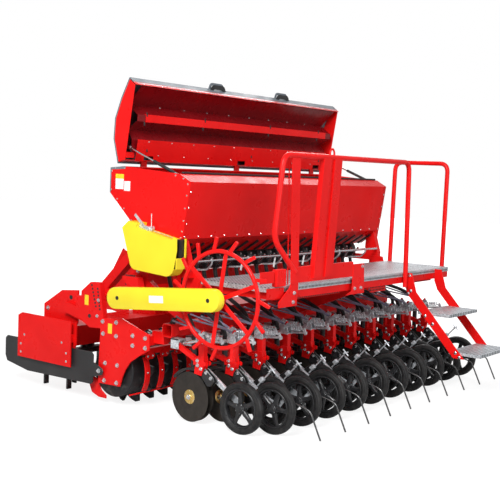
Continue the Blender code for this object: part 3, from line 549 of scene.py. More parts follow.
RED = painted("drill_red", (0.82, 0.009, 0.0085), (0.72, 0.006, 0.006), 0.3, 0.2)
# The lid lining's red: the same red paint made darker, as painted shade on the lid's inner panel, which
# faces down and away from the light.
SHADED_RED = painted("red_with_painted_shade", (0.2, 0.0035, 0.006), (0.165, 0.003, 0.0055), 0.26, 0.3)
BLACK = painted("black_paint", (0.032, 0.032, 0.033), (0.02, 0.02, 0.021), 0.4, 0.45)
GREY = painted("grey_skin", (0.175, 0.2, 0.225), (0.14, 0.162, 0.185), 0.42, 0.4)
CABLE = painted("cable_grey", (0.3, 0.3, 0.42), (0.24, 0.24, 0.34), 0.45, 0.35)
# Near-black: real rubber seals, sleeves and a latch, and also painted shade in slots and drilled holes.
SEAL_AND_SHADE = painted("black_seal_and_painted_shade", (0.012, 0.012, 0.013), (0.02, 0.02, 0.021), 0.5, 0.4)
YELLOW = grained("yellow_moulding", 0.0, 0.35, (3.0, 2.0, 0.35, 0.65), (0.88, 0.735, 0.03),
                 (0.83, 0.67, 0.024), (14.0, 4.0, 0.34, 0.46), (700.0, 2.0, 0.0003, 0.15))
RUBBER = grained("wheel_rubber", 0.0, 0.3, (28.0, 4.0, 0.35, 0.75), (0.009, 0.009, 0.01),
                 (0.026, 0.025, 0.024), (45.0, 3.0, 0.38, 0.58), (900.0, 2.0, 0.0004, 0.25))
MOULDED = grained("black_moulding", 0.0, 0.5, (30.0, 3.0, 0.3, 0.7), (0.01, 0.01, 0.011),
                  (0.022, 0.022, 0.024), (60.0, 3.0, 0.26, 0.42), (1200.0, 1.0, 0.0002, 0.2))
BRIGHT = grained("plated_zinc", 1.0, 0.5, (55.0, 4.0, 0.35, 0.7), (0.8, 0.83, 0.86), (0.62, 0.63, 0.64),
                 (120.0, 3.0, 0.16, 0.32), (600.0, 2.0, 0.0002, 0.2))
DISC = grained("disc_steel", 0.35, 0.4, (16.0, 5.0, 0.3, 0.75), (0.024, 0.021, 0.018),
               (0.045, 0.038, 0.032), (30.0, 4.0, 0.36, 0.52), (18.0, 6.0, 0.0008, 0.2),
               stretch=(1.0, 22.0, 1.5))
BRASS = grained("brass_hub", 1.0, 0.5, (70.0, 4.0, 0.35, 0.7), (0.86, 0.62, 0.22), (0.7, 0.46, 0.14),
                (90.0, 3.0, 0.22, 0.38))
TINE = grained("tine_steel", 0.75, 0.5, (60.0, 4.0, 0.3, 0.7), (0.06, 0.062, 0.068),
               (0.13, 0.128, 0.125), (90.0, 3.0, 0.28, 0.46))
TEETH_STEEL = grained("worn_teeth", 0.45, 0.45, (22.0, 5.0, 0.55, 0.75), (0.024, 0.024, 0.026),
                      (0.085, 0.078, 0.072), (36.0, 4.0, 0.34, 0.55), (120.0, 4.0, 0.0006, 0.25))
HOSE = hose_rubber()
ZINC = zinc_coat()
GRATING = deck_grating()
MESH = red_mesh()
WHITE_LABEL = label("white_label", (0.86, 0.87, 0.88))
YELLOW_LABEL = label("yellow_label", (0.93, 0.66, 0.03))


def cad_finishes():
    """The CAD solids that show take the same finishes."""
    named = {
        RED: ("hopper", "lid", "drill_frame", "roller_frame", "harrow_trough", "headstock",
              "platform_bearers", "ladder_side_left", "ladder_side_right"),
        BLACK: ("side_shield_left", "side_shield_right", "strut_barrel_left", "strut_barrel_right"),
        BRIGHT: ("agitator_bar", "strut_rod_left", "strut_rod_right"),
        TINE: [f"rotor_{n:02d}" for n in range(1, 11)],
    }
    for material, nodes in named.items():
        for node in nodes:
            obj = frame["nodes"][node]
            obj.data.materials.clear()
            obj.data.materials.append(material)


# Press wheels

def press_wheel(name, x, y, turn):
    """Stepped rubber tyre on a five-spoked black rim with a hub cap and small bolts."""
    centre = (x, y, WHEEL_R)
    half = [(0.123, -0.016), (0.13, -0.0225), (0.14, -0.0262), (0.149, -0.0275), (0.153, -0.0262),
            (0.1545, -0.024), (0.159, -0.024), (0.164, -0.0215), (0.1685, -0.014), (0.17, -0.006)]
    tyre = turned(doubled(half), 56, centre, ring=True)
    lip = [(0.129, -0.02), (0.125, -0.0245), (0.1195, -0.0245), (0.1155, -0.02), (0.112, -0.008)]
    rim = turned(doubled(lip), 48, centre, ring=True)
    hub_half = [(0.0, -HUB_HALF), (0.017, -HUB_HALF), (0.0225, -0.0315), (0.025, -0.0275), (0.032, -0.025),
                (0.035, -0.021), (0.036, -0.014)]
    hub = turned(doubled(hub_half), 28, centre)
    spoke = loft(np.array([
        [(u * thick, v * wide, radius) for u, v in ((-1, -0.6), (-0.6, -1), (0.6, -1), (1, -0.6),
                                                    (1, 0.6), (0.6, 1), (-0.6, 1), (-1, 0.6))]
        for radius, wide, thick in ((0.028, 0.015, 0.0165), (0.046, 0.0165, 0.015), (0.08, 0.013, 0.011),
                                    (0.104, 0.015, 0.0085), (0.1165, 0.023, 0.008))]))
    angles = turn + np.arange(5) * 2 * np.pi / 5
    spokes = moved(spun(spoke, angles), centre)
    a = angles + np.pi / 5 + np.pi / 2
    heads = domes([(-0.0235, 0.03 * np.cos(b), 0.03 * np.sin(b)) for b in a], LEFT, 0.0042)
    piece(name + "_tyre", tyre, RUBBER, name, replaces=(name,))
    piece(name + "_rim", gather([rim, hub, spokes]), MOULDED, name)
    piece(name + "_bolts", moved(both_sides(heads), centre), BRIGHT, name)


def press_wheels():
    for k in range(ROWS):
        press_wheel(f"press_wheel_rear_{k + 1:02d}", REAR_X0 + PITCH * k, 0.0, 0.35 + 0.83 * k)
        press_wheel(f"press_wheel_front_{k + 1:02d}", FRONT_X0 + PITCH * k, STAGGER, 1.1 + 1.27 * k)


# Coulters

def row_of(x0):
    """Moves from the machine's middle to each coulter of a row."""
    return across_row(x0 + PITCH * np.arange(ROWS))


def both_rows(shape):
    """A coulter's shape along the rear row and, further ahead, along the front row."""
    return gather([repeated(shape, row_of(REAR_X0)),
                   repeated(moved(shape, (0.0, STAGGER, 0.0)), row_of(FRONT_X0))])


def to_beam(make):
    """A shape that reaches to the carrier beam, made for each row's distance from it."""
    return gather([repeated(make(0.0), row_of(REAR_X0)), repeated(make(STAGGER), row_of(FRONT_X0))])


def on_beam(shape):
    """A shape on the carrier beam, above each coulter of both rows."""
    return gather([repeated(shape, row_of(x0)) for x0 in (REAR_X0, FRONT_X0)])


def disc_pair():
    """Two thin discs, toed in so that they meet ahead and below."""
    flat = [(0.0, -0.0015), (0.155, -0.0015), (DISC_R, -0.0004), (DISC_R, 0.0004), (0.155, 0.0015),
            (0.0, 0.0015)]
    points, groups = turned(flat, 56)
    points[:, 0] += points[:, 1] * np.sin(np.radians(3.6)) - 0.0165
    return moved(both_sides((points, groups)), (0.0, DISC_AHEAD, DISC_Z))


def disc_hub():
    """Stepped brass flange outside each disc."""
    profile = [(0.0, -0.03), (0.019, -0.03), (0.0215, -0.0275), (0.0225, -0.0245), (0.033, -0.0235),
               (0.036, -0.0215), (0.046, -0.0205), (0.048, -0.019), (0.048, -0.015), (0.0, -0.015)]
    return moved(both_sides(turned(profile, 32)), (0.0, DISC_AHEAD, DISC_Z))


def disc_bolts():
    a = np.arange(6) * np.pi / 3 + 0.5
    small = np.column_stack([np.full(6, -0.0206), 0.0405 * np.cos(a), 0.0405 * np.sin(a)])
    heads = both_sides(domes(small, LEFT, 0.003), bolts([(-0.03, 0.0, 0.0)], LEFT, 0.024))
    return moved(heads, (0.0, DISC_AHEAD, DISC_Z))


def seed_boot():
    """Black boot between the discs, its hood over their top edge and the seed tube beside the link."""
    over = (DISC_AHEAD, DISC_Z)
    hood = np.concatenate([arc(over, 0.194, 36, 104, 12), arc(over, 0.179, 104, 36, 12)])
    boot = [(0.405, 0.06), (0.372, 0.048), (0.33, 0.12), (0.322, 0.33), (0.395, 0.345), (0.42, 0.26)]
    funnel = turned([(0.0, -0.05), (0.026, -0.05), (0.026, -0.044), (0.0195, -0.02), (0.0195, 0.18),
                     (0.0215, 0.182), (0.0215, 0.196), (0.0, 0.196)], 20)
    return gather([prism(hood, -0.018, 0.018, 0.003), prism(boot, -0.011, 0.011, 0.002),
                   moved(faced(funnel, UP), (TUBE_SIDE, TUBE_AHEAD, 0.375))])


def side_plate():
    """Charcoal plate with five corners that joins the head to the press wheel's arm."""
    outline = [(0.326, 0.352), (0.3, 0.385), (0.231, 0.333), (0.219, 0.308),
               (0.25, 0.272), (0.278, 0.267), (0.326, 0.318)]
    return both_sides(prism(outline, -0.02, -0.011, 0.003))


def head():
    """Red head: cheeks with a pointed nose and a lip behind, a folded back and the upright."""
    cheek = [(0.391, 0.339), (0.386, 0.386), (0.376, 0.406), (0.38, 0.452), (0.36, 0.462), (0.314, 0.46),
             (0.307, 0.416), (0.316, 0.372), (0.326, 0.331)]
    lip = [(0.306, 0.398), (0.29, 0.404), (0.288, 0.424), (0.306, 0.43)]
    upright = block((-0.02, 0.315, 0.43), (0.02, 0.361, 0.552), 0.002)
    return gather([both_sides(prism(cheek, -0.024, -0.019, 0.001)), upright,
                   block((-0.019, 0.318, 0.34), (0.019, 0.352, 0.43), 0.001),
                   both_sides(prism(lip, -0.03, -0.024, 0.001))])


def head_bolts():
    at = [(-0.024, 0.364, 0.429), (-0.024, 0.361, 0.398), (-0.024, 0.332, 0.379)]
    on_plate = [(-0.02, 0.29, 0.358), (-0.02, 0.249, 0.327)]
    return both_sides(bolts(at, LEFT, 0.018), bolts(on_plate, LEFT, 0.017),
                      domes(at[-1:], LEFT, 0.0125))


def link(y):
    """Square tube from the clamp to the head, with a pivot lug at each end."""
    start, end = np.array([0.0, LINK_FRONT_Y - 0.004, 0.503]), np.array([0.0, y + 0.384, 0.424])
    lugs = [block((-0.024, y + 0.376, 0.396), (0.024, y + 0.402, 0.438), 0.003),
            block((-0.024, LINK_FRONT_Y - 0.028, 0.482), (0.024, LINK_FRONT_Y + 0.012, 0.52), 0.003)]
    return gather([flat_bar(start, end, 0.028, 0.031, UP), *lugs])


def clamp():
    """Zinc clamp that hangs from the carrier beam, with its bolts."""
    low = CARRIER_Z - CARRIER_S / 2
    plates = [block((x0, LINK_FRONT_Y - back, z), (x1, LINK_FRONT_Y + 0.036, low), 0.001)
              for x0, x1, back, z in ((-0.033, -0.027, 0.034, 0.482), (0.027, 0.033, 0.034, 0.482),
                                      (-0.033, 0.033, 0.036, low - 0.01))]
    at = [(-0.033, LINK_FRONT_Y + way * 0.018, 0.5) for way in (-1, 1)]
    return gather([*plates, both_sides(bolts(at, LEFT, 0.016))])


def upper_rod(y):
    """Bright rod above the link, with its sleeve and lock nuts."""
    start, end = np.array([0.012, LINK_FRONT_Y + 0.004, 0.508]), np.array([0.012, y + 0.36, 0.562])
    along = unit(end - start)
    nuts = [tube([start + along * t, start + along * (t + 0.01)], 0.015, 6) for t in (0.03, 0.044)]
    sleeve = tube([end - along * 0.12, end - along * 0.04], 0.0125, 14)
    return gather([tube([start, end], 0.01, 12), *nuts, sleeve])


def pull_rods(y):
    """Two thin cables that part from the bracket on the head towards a lug on the carrier beam."""
    top = CARRIER_Z + CARRIER_S / 2
    rods = []
    for side in (-1, 1):
        bend = np.array([0.006 * side, y + 0.42, 0.634])
        far = np.array([0.018 * side, CARRIER_Y - 0.03, top + 0.04 + 0.012 * side])
        rods.append(tube([(0.004 * side, y + 0.362, 0.612), bend, far], 0.0064, 8))
    return gather(rods)


def beam_lug():
    top = CARRIER_Z + CARRIER_S / 2
    plate = [(CARRIER_Y + y, top + z)
             for y, z in ((-0.04, 0.0), (-0.04, 0.044), (-0.018, 0.044), (0.014, 0.0))]
    pin = cross_bar(0.024, CARRIER_Y - 0.03, top + 0.038, 0.005, 10)
    return gather([prism(plate, -0.003, 0.003, 0.001), pin])


def head_bracket():
    """Zinc bracket on top of the upright: folded saddle, pin, lever, and a tension spring behind."""
    cheek = [(0.382, 0.549), (0.312, 0.546), (0.308, 0.572), (0.326, 0.612),
             (0.352, 0.62), (0.382, 0.59)]
    saddle = block((-0.023, 0.31, 0.552), (0.023, 0.38, 0.557), 0.001)
    pin = cross_bar(0.04, 0.344, 0.592, 0.008, 10)
    lever = flat_bar((-0.034, 0.366, 0.566), (-0.034, 0.306, 0.628), 0.005, 0.016, AHEAD)
    coil = spring((0.0, 0.3, 0.59), (0.0, 0.222, 0.598), 0.015, 0.0036, 5)
    eyes = [tube([(0.0, 0.344, 0.592), (0.0, 0.3, 0.59)], 0.0045, 8),
            tube([(0.0, 0.222, 0.598), (0.0, 0.19, 0.584)], 0.0045, 8),
            flat_bar((0.0, 0.196, 0.606), (0.0, 0.176, 0.56), 0.006, 0.02, AHEAD)]
    stay = flat_bar((0.024, 0.182, 0.572), (0.024, 0.322, 0.556), 0.005, 0.014, UP)
    cheeks = both_sides(prism(cheek, -0.0285, -0.023, 0.001))
    return gather([cheeks, saddle, pin, lever, coil, *eyes, stay])


def red_cap():
    cap = turned([(0.0, 0.0), (0.0105, 0.0), (0.0105, 0.024), (0.008, 0.03), (0.0, 0.03)], 14)
    return moved(faced(cap, (0.0, -0.45, 0.89)), (-0.018, 0.338, 0.61))


def wheel_arm():
    """Zinc channel beside the press wheel, open to the outside, and its axle."""
    blade = [(-0.022, WHEEL_R - 0.014), (-0.01, WHEEL_R - 0.024), (0.018, WHEEL_R - 0.02),
             (0.11, 0.198), (0.195, 0.252), (0.278, 0.302), (0.352, 0.346),
             (0.352, 0.372), (0.332, 0.379), (0.232, 0.312), (0.164, 0.27),
             (-0.006, WHEEL_R + 0.024), (-0.022, WHEEL_R + 0.016)]
    x = WHEEL_SIDE + 0.011
    edges = [flat_bar((x, *one), (x, *two), 0.016, 0.003, (0.0, -0.55, 0.83))
             for one, two in (((0.12, 0.207), (0.3, 0.317)), ((0.11, 0.233), (0.32, 0.368)))]
    bridge = block((-0.014, 0.286, 0.338), (WHEEL_SIDE + 0.002, 0.306, 0.35), 0.001)
    nut = bolts([(WHEEL_SIDE + 0.006, 0.0, WHEEL_R)], RIGHT, 0.026)
    return gather([prism(blade, WHEEL_SIDE, WHEEL_SIDE + 0.006, 0.001), *edges, bridge, nut])


def depth_spindle():
    """Threaded spindle over a rear press wheel, with its block and cross handle."""
    low, high = np.array([HUB_HALF, 0.158, 0.288]), np.array([HUB_HALF, 0.045, 0.411])
    along, across = unit(high - low), np.array([1.0, 0.0, 0.0])
    other = np.cross(along, across)
    nut = np.array([HUB_HALF, 0.127, 0.331])
    handles = [tube([high - way * 0.03, high + way * 0.03], 0.005, 8) for way in (across, other)]
    return gather([tube([low, high + along * 0.006], 0.005, 8),
                   flat_bar(nut - along * 0.015, nut + along * 0.015, 0.028, 0.028, across), *handles])


def following_tine():
    """Spring tine behind a rear press wheel: coil and a wire that bends steeply down."""
    side, turn = WHEEL_SIDE + 0.003, WHEEL_SIDE + 0.037
    wire = rounded([(turn, -0.066, 0.218), (turn, -0.1, 0.215), (turn, -0.195, 0.195),
                    (turn, -0.24, 0.178), (turn, -0.325, 0.0065)], 0.02, 6)
    coil = spring((side + 0.006, -0.06, 0.235), (side + 0.036, -0.06, 0.235), 0.019, 0.0045, 4)
    return gather([tube(wire, 0.0058, 10), coil])


def tine_holder():
    x = WHEEL_SIDE + 0.003
    strap = flat_bar((x, -0.004, WHEEL_R), (x, -0.062, 0.24), 0.006, 0.026, UP)
    pin = tube([(WHEEL_SIDE, -0.06, 0.235), (WHEEL_SIDE + 0.042, -0.06, 0.235)], 0.0085, 10)
    return gather([strap, pin])


def coulters():
    """The carrier beam and, piece by piece, the twenty coulters that it carries."""
    outer, inner = (corners_cut(CARRIER_Y - s, CARRIER_Z - s, CARRIER_Y + s, CARRIER_Z + s, cut)
                    for s, cut in ((CARRIER_S / 2, 0.01), (CARRIER_S / 2 - 0.007, 0.006)))
    beam = sheet_with_holes(outer, [inner], -CARRIER_HALF, CARRIER_HALF)
    piece("carrier_beam", beam, RED, replaces=("coulter_gang",))
    for name, shape, material in (
            ("coulter_discs", both_rows(disc_pair()), DISC),
            ("disc_hubs", both_rows(disc_hub()), BRASS),
            ("disc_bolts", both_rows(disc_bolts()), BRIGHT),
            ("seed_boots", both_rows(seed_boot()), MOULDED),
            ("coulter_side_plates", both_rows(side_plate()), MOULDED),
            ("coulter_heads", both_rows(head()), RED),
            ("head_bolts", both_rows(head_bolts()), BRIGHT),
            ("coulter_links", to_beam(link), RED),
            ("link_clamps", on_beam(clamp()), ZINC),
            ("upper_rods", to_beam(upper_rod), BRIGHT),
            ("pull_cables", to_beam(pull_rods), CABLE),
            ("beam_lugs", on_beam(beam_lug()), BLACK),
            ("head_brackets", both_rows(head_bracket()), ZINC),
            ("red_caps", both_rows(red_cap()), RED),
            ("wheel_arms", both_rows(wheel_arm()), ZINC),
            ("depth_spindles", repeated(depth_spindle(), row_of(REAR_X0)), ZINC),
            ("following_tines", repeated(following_tine(), row_of(REAR_X0)), TINE),
            ("tine_holders", repeated(tine_holder(), row_of(REAR_X0)), ZINC)):
        piece(name, shape, material)


# Metering

def feed_places():
    """(X of the housing, X of its coulter's seed tube, Y of that tube) for both rows."""
    rear, front = row_of(REAR_X0)[:, 0], row_of(FRONT_X0)[:, 0]
    x = np.concatenate([rear, front])
    y = np.concatenate([np.full(ROWS, TUBE_AHEAD), np.full(ROWS, STAGGER + TUBE_AHEAD)])
    return np.column_stack([x * FEED_HALF / -FRONT_X0, x + TUBE_SIDE, y])


def seed_hose(feed_x, x, y):
    """Hose that falls from its housing, passes over the carrier beam and turns down into its tube.

    A Bezier curve of degree five through the outlet and the tube's mouth.
    """
    controls = np.array([(feed_x, 1.0, 0.968), (feed_x, 0.99, 0.82), (feed_x, 0.9, 0.74),
                         (x, max(y + 0.1, 0.72), 0.735), (x, y + 0.004, 0.705), (x, y, 0.56)])
    t = np.linspace(0.0, 1.0, 20)[:, None]
    path = sum(count * (1 - t) ** (5 - k) * t ** k * point
               for k, (count, point) in enumerate(zip((1, 5, 10, 10, 5, 1), controls)))
    return swept(path, circle(0.015, 10), RIGHT)


def metering():
    """Housings under the bin with hose, lever and slide each, their shaft and the bar's brackets."""
    feeds = feed_places()
    at = across_row(feeds[:, 0])
    side = [(1.09, 1.084), (1.09, 0.985), (1.06, 0.962), (0.985, 0.96), (0.966, 0.972),
            (0.958, 1.0), (0.962, 1.05), (0.985, 1.084)]
    cup = turned([(0.0, -0.0335), (0.02, -0.0335), (0.026, -0.03), (0.028, -0.024), (0.028, 0.024),
                  (0.026, 0.03), (0.02, 0.0335), (0.0, 0.0335)], 16, (0.0, 0.992, 1.006))
    outlet = tube([(0.0, 1.0, 0.975), (0.0, 0.996, 0.948)], 0.0185, 12)
    housing = gather([prism(side, -0.03, 0.03, 0.003), cup, outlet])
    piece("feed_housings", repeated(housing, at), MOULDED, replaces=("metering_units",))
    piece("seed_hoses", gather([seed_hose(*row) for row in feeds]), HOSE)
    flap = flat_bar((-0.022, 0.962, 0.985), (-0.022, 0.905, 1.048), 0.005, 0.012, AHEAD)
    knob = turned([(0.0, 0.0), (0.008, 0.0), (0.008, 0.012), (0.0, 0.014)], 10, (-0.032, 0.905, 1.048))
    gear = turned([(0.0, -0.004), (0.017, -0.004), (0.017, 0.004), (0.0, 0.004)], 12, (0.036, 0.992, 1.006))
    fixing = bolts([(0.0, 0.9575, 1.03), (0.0, 0.9585, 1.06)], REARWARD, 0.01)
    piece("feed_levers", repeated(gather([flap, knob, gear, fixing]), at), BRIGHT)
    piece("feed_shaft", cross_bar(HALF_W - 0.082, 1.015, 1.02, 0.012, 6), BRIGHT)
    bend = rounded([(0.0, 0.75, 1.066), (0.0, 0.742, 1.03), (0.004, 0.79, 0.985), (0.004, 0.925, 0.972)],
                   0.012, 4)
    hook = swept(bend, oblong(0.012, 0.004), RIGHT)
    piece("bar_brackets", repeated(hook, across_row(np.linspace(-1.05, 1.05, 6))), ZINC)
    slide = flat_bar((-0.01, 0.9188, 1.0882), (0.03, 0.8158, 1.1702), 0.02, 0.012, (0.0, -0.62, -0.78))
    piece("slide_handles", repeated(slide, at), MOULDED)


# Platform, rails and ladder

def deck():
    """Three tread planks folded down at their edges, end channels, slotted rear edge with painted shade in
    its slots, and guard mesh.
    """
    wide = (DECK_Y1 - DECK_Y0 - 0.008) / 3
    top, low = DECK_Z, DECK_Z - DECK_T
    planks = []
    for n in range(3):
        y = DECK_Y0 + n * (wide + 0.004)
        end = y + wide
        plank = [(y, top - 0.002), (y + 0.002, top), (end - 0.002, top), (end, top - 0.002), (end, low),
                 (end - 0.003, low), (end - 0.003, top - 0.004), (y + 0.003, top - 0.004), (y + 0.003, low),
                 (y, low)]
        planks.append(prism(plank, DECK_X0, DECK_X1, 0.0003))
    piece("deck_planks", gather(planks), GRATING, replaces=("platform",))
    ends = [block((x, DECK_Y0 + 0.004, low), (x + 0.004, DECK_Y1 - 0.004, top - 0.005), 0.001)
            for x in (DECK_X0, DECK_X1 - 0.004)]
    piece("deck_ends", gather(ends), ZINC)
    # Near-black blocks in the rear edge's slots: painted shade inside the openings.
    slot = block((-0.004, DECK_Y0 - 0.0008, top - 0.028), (0.004, DECK_Y0 + 0.001, top - 0.014), 0.0003)
    at = np.arange(DECK_X0 + 0.03, DECK_X1 - 0.02, 0.017)
    guard = [block((low_x, 0.07, low_z), (high_x, 0.073, low - 0.001), 0.0005)
             for low_x, high_x, low_z in ((0.512, 0.988, 0.85), (0.005, 0.237, 0.82),
                                          (-1.2, -0.42, 0.85))]
    piece("guard_mesh", gather(guard), MESH)
    piece("deck_slot_shade", repeated(slot, across_row(at)), SEAL_AND_SHADE)


def upright_strip(face, *widths):
    """Flat strip in X and Z behind a face at Y: left edge, right edge and height of each bend."""
    return loft(np.array([level(x0, x1, face - 0.006, face, z) for x0, x1, z in widths]))


def rails():
    """Handrail tubes, the box post of three strips, the flat post with its foot, and the toe board."""
    y = DECK_Y0 - RAIL_R - GAP
    rear = rounded([(-1.06, y, 1.04), (-1.312, y, 1.262), (-1.28, y, 1.49), (-1.238, y, RAIL_TOP),
                    (0.43, y, RAIL_TOP), (0.465, y, 0.835)], 0.075, 9)
    piece("rear_handrail", tube(rear, RAIL_R, 20), RED, replaces=("rear_rail",))
    x = DECK_X1 + RAIL_R + GAP
    end = rounded([(x, 0.62, 0.905), (x, 0.61, RAIL_TOP + 0.015), (x, 0.11, RAIL_TOP + 0.015),
                   (x, 0.115, 0.905)], 0.075, 9)
    piece("end_handrail", tube(end, RAIL_R, 20), RED, replaces=("end_rail",))
    post = []
    for one, two, deep in ((-0.862, -0.769, 0.018), (-0.769, -0.724, 0.008), (-0.724, -0.628, 0.018)):
        foot = np.array([one + 0.0006, two - 0.0006])
        top = foot + 0.072 * np.where(foot < -0.745, 1.0, 0.9)
        post.append(loft(np.array([level(*foot, y - deep, y + RAIL_R, 0.99),
                                   level(*top, y - deep, y + RAIL_R, RAIL_TOP - 0.006)])))
    eye = rounded([(x, y, RAIL_TOP + above) for x, above in
                   ((-0.7, 0.01), (-0.7, 0.04), (-0.675, 0.064), (-0.647, 0.04), (-0.647, 0.01))],
                  0.016, 6)
    piece("channel_post", gather(post + [tube(eye, 0.007, 10)]), RED)
    face = y - 0.004
    flat = [upright_strip(face, (-1.113, -1.03, 0.96), (-1.154, -1.061, 1.795)),
            upright_strip(face, (-1.24, -1.039, 0.817), (-1.245, -1.036, 0.852), (-1.13, -1.028, 0.937),
                          (-1.113, -1.03, 0.962)),
            upright_strip(face + 0.022, (-1.119, -1.113, 0.96), (-1.16, -1.154, 1.795))]
    piece("flat_post", gather(flat), RED)
    toe = [block((-1.028, y - 0.004, 0.967), (-0.332, y, 1.072)),
           block((-1.028, y - 0.001, 1.068), (-0.332, y + 0.018, 1.074)),
           upright_strip(y - 0.001, (-0.422, -0.175, 0.838), (-0.34, -0.172, 0.862),
                         (-0.332, -0.188, 1.055)),
           block((-1.268, 0.02, 0.955), (-1.162, 0.06, 1.066), 0.003),
           block((-1.433, 0.03, 0.982), (-1.283, 0.036, 1.058), 0.001),
           block((-1.349, 0.036, 0.874), (-1.161, 0.042, 0.946), 0.001)]
    piece("toe_board", gather(toe), RED)
    heads = [(-1.075, y - 0.01, 0.905), (-1.085, y - 0.01, 0.845), (-0.215, y - 0.007, 1.035),
             (-0.225, y - 0.007, 0.88), (-0.31, y - 0.007, 0.88)]
    piece("rail_bolts", bolts(heads, REARWARD, 0.019), BRIGHT)


def ladder():
    """Stringers with wide heads at the deck, and two tread steps between them."""
    sides, heads = [], []
    for x, out in ((LADDER_X0 - 0.01, -1), (LADDER_X1, 1)):
        stringer = [(DECK_Y0 - GAP, DECK_Z - 0.005), (DECK_Y0 - GAP, 0.85), (0.012, 0.775),
                    (-0.4, 0.33), (-0.49, 0.33), (-0.06, 0.8), (-0.015, DECK_Z - 0.005)]
        sides.append(prism(stringer, x, x + 0.01))
        face = x if out < 0 else x + 0.01
        at = [(face, y, z) for y, z in ((0.002, 0.925), (0.03, 0.918), (-0.012, 0.806), (0.008, 0.784),
                                        (-0.149, 0.625), (-0.216, 0.57), (-0.418, 0.372), (-0.452, 0.342))]
        heads.append(bolts(at, (out, 0, 0), 0.018))
    piece("ladder_sides", gather(sides), RED, replaces=("ladder_side_left", "ladder_side_right"))
    piece("ladder_bolts", gather(heads), BRIGHT)
    treads, ends = [], []
    low, high = LADDER_X0 + 0.0004, LADDER_X1 - 0.0004
    for rear, front, top in STEPS:
        treads += [block((low, y0, top - deep), (high, y1, top - drop), 0.001)
                   for y0, y1, deep, drop in ((rear, front, 0.004, 0.0), (rear, rear + 0.003, 0.025, 0.003),
                                              (front - 0.003, front, 0.025, 0.003))]
        ends += [block((x, rear + 0.003, top - 0.025), (x + 0.003, front - 0.003, top - 0.004), 0.001)
                 for x in (low, high - 0.003)]
    piece("step_treads", gather(treads), GRATING, replaces=("step_upper", "step_lower"))
    piece("step_ends", gather(ends), ZINC)


# Hopper

def sticker(low, high, x, thick=0.0004):
    """Thin blank film on a side face at x, between two corners (y, z)."""
    step = np.sign(x) * thick
    return block((min(x, x + step), *low), (max(x, x + step), *high), 0.0001)


def hopper_fittings():
    """Bolt rows, front skin with its border, seal, corner posts, feed levers and blank labels."""
    out = -HALF_W
    top, low = np.array([0.727, 1.602]), np.array([0.782, 1.21])
    length = np.linalg.norm(low - top)
    down = (low - top) / length
    normal = np.array([0.0, down[1], -down[0]])
    rows = [(x, length - 0.014) for x in np.linspace(out + 0.022, -out - 0.022, 19)]
    rows += [(x, t) for x in (out + 0.022, -out - 0.022) for t in (0.07, 0.18, 0.29)]
    rows += [(0.0, t) for t in (0.12, 0.25)]
    x, t = np.array(rows).T
    rear = domes(np.column_stack([x, top[0] + down[0] * t, top[1] + down[1] * t]), normal, 0.0065)
    edge = [(1.477, 1.655), (1.478, 1.52), (1.415, 1.455), (1.345, 1.39), (1.27, 1.31), (1.2, 1.225),
            (1.44, 1.674), (1.35, 1.676), (0.862, 1.64), (0.79, 1.622), (0.748, 1.586), (0.755, 1.508),
            (0.768, 1.42), (0.776, 1.335), (0.788, 1.262), (0.798, 1.218)]
    end = domes([(out, y, z) for y, z in edge], LEFT, 0.0065)
    piece("hopper_bolts", gather([rear, end, mirrored(end)]), BRIGHT)
    skin = prism([(1.491, 1.678), (1.491, 1.5), (1.4895, 1.5), (1.4895, 1.6768), (1.351, 1.6888),
                  (1.351, 1.6904)], out, -out, 0.0002)
    border = prism([(1.491, 1.678), (1.491, 1.5), (1.481, 1.505), (1.481, 1.664), (1.34, 1.672),
                    (1.34, 1.69)], out - 0.0006, out + 0.001, 0.0002)
    piece("hopper_front_skin", gather([moved(skin, (0.0, 0.0005, 0.0004)), both_sides(border)]), GREY)
    seal = block((out + 0.03, 0.822, 1.6535), (-out - 0.03, 0.836, 1.668), 0.003)
    piece("hopper_seal", seal, SEAL_AND_SHADE)
    strip = prism([(0.7265, 1.6), (0.7305, 1.6), (0.7865, 1.206), (0.827, 0.9), (0.8225, 0.9),
                   (0.7815, 1.206)], out + 0.002, out + 0.048, 0.0006)
    web = prism([(0.785, 1.205), (0.826, 0.9), (0.862, 0.9), (0.862, 1.15)],
                out + 0.004, out + 0.008, 0.001)
    piece("corner_posts", both_sides(strip, web), RED)
    levers = [flat_bar((a, 0.752, 1.05), (b, 0.746, 0.966), 0.016, 0.004, AHEAD)
              for a, b in ((-0.681, -0.714), (-0.281, -0.305), (0.115, 0.085))]
    piece("feed_levers", gather(levers), WHITE_LABEL)
    films = [sticker((1.354, 1.526), (1.436, 1.6005), out), sticker((1.289, 1.516), (1.349, 1.585), out)]
    piece("hopper_labels", gather(films), WHITE_LABEL)
    piece("hopper_label_heads", sticker((1.354, 1.601), (1.436, 1.634), out), YELLOW_LABEL)


# Lid

def opened(points):
    """Places (y, z) of points given from the hinge with the lid closed."""
    y, z = np.asarray(points, float).T
    c, s = np.cos(-LID_OPEN), np.sin(-LID_OPEN)
    return np.stack([LID_HINGE[0] + y * c - z * s, LID_HINGE[1] + y * s + z * c], 1)


def lip_strip(a, b, one, two):
    """Strip in (Y, Z) from a to b along the open lid's lip, from one to two into the lid."""
    outline = opened(LID_TOP + LID_EDGE)
    top, low = outline[len(LID_TOP) - 1:len(LID_TOP) + 1]
    along = unit(low - top)
    into = np.array([along[1], -along[0]])
    into *= np.sign(np.dot(into, outline.mean(0) - top))
    return [top + along * s + into * t for s, t in ((a, one), (b, one), (b, two), (a, two))]


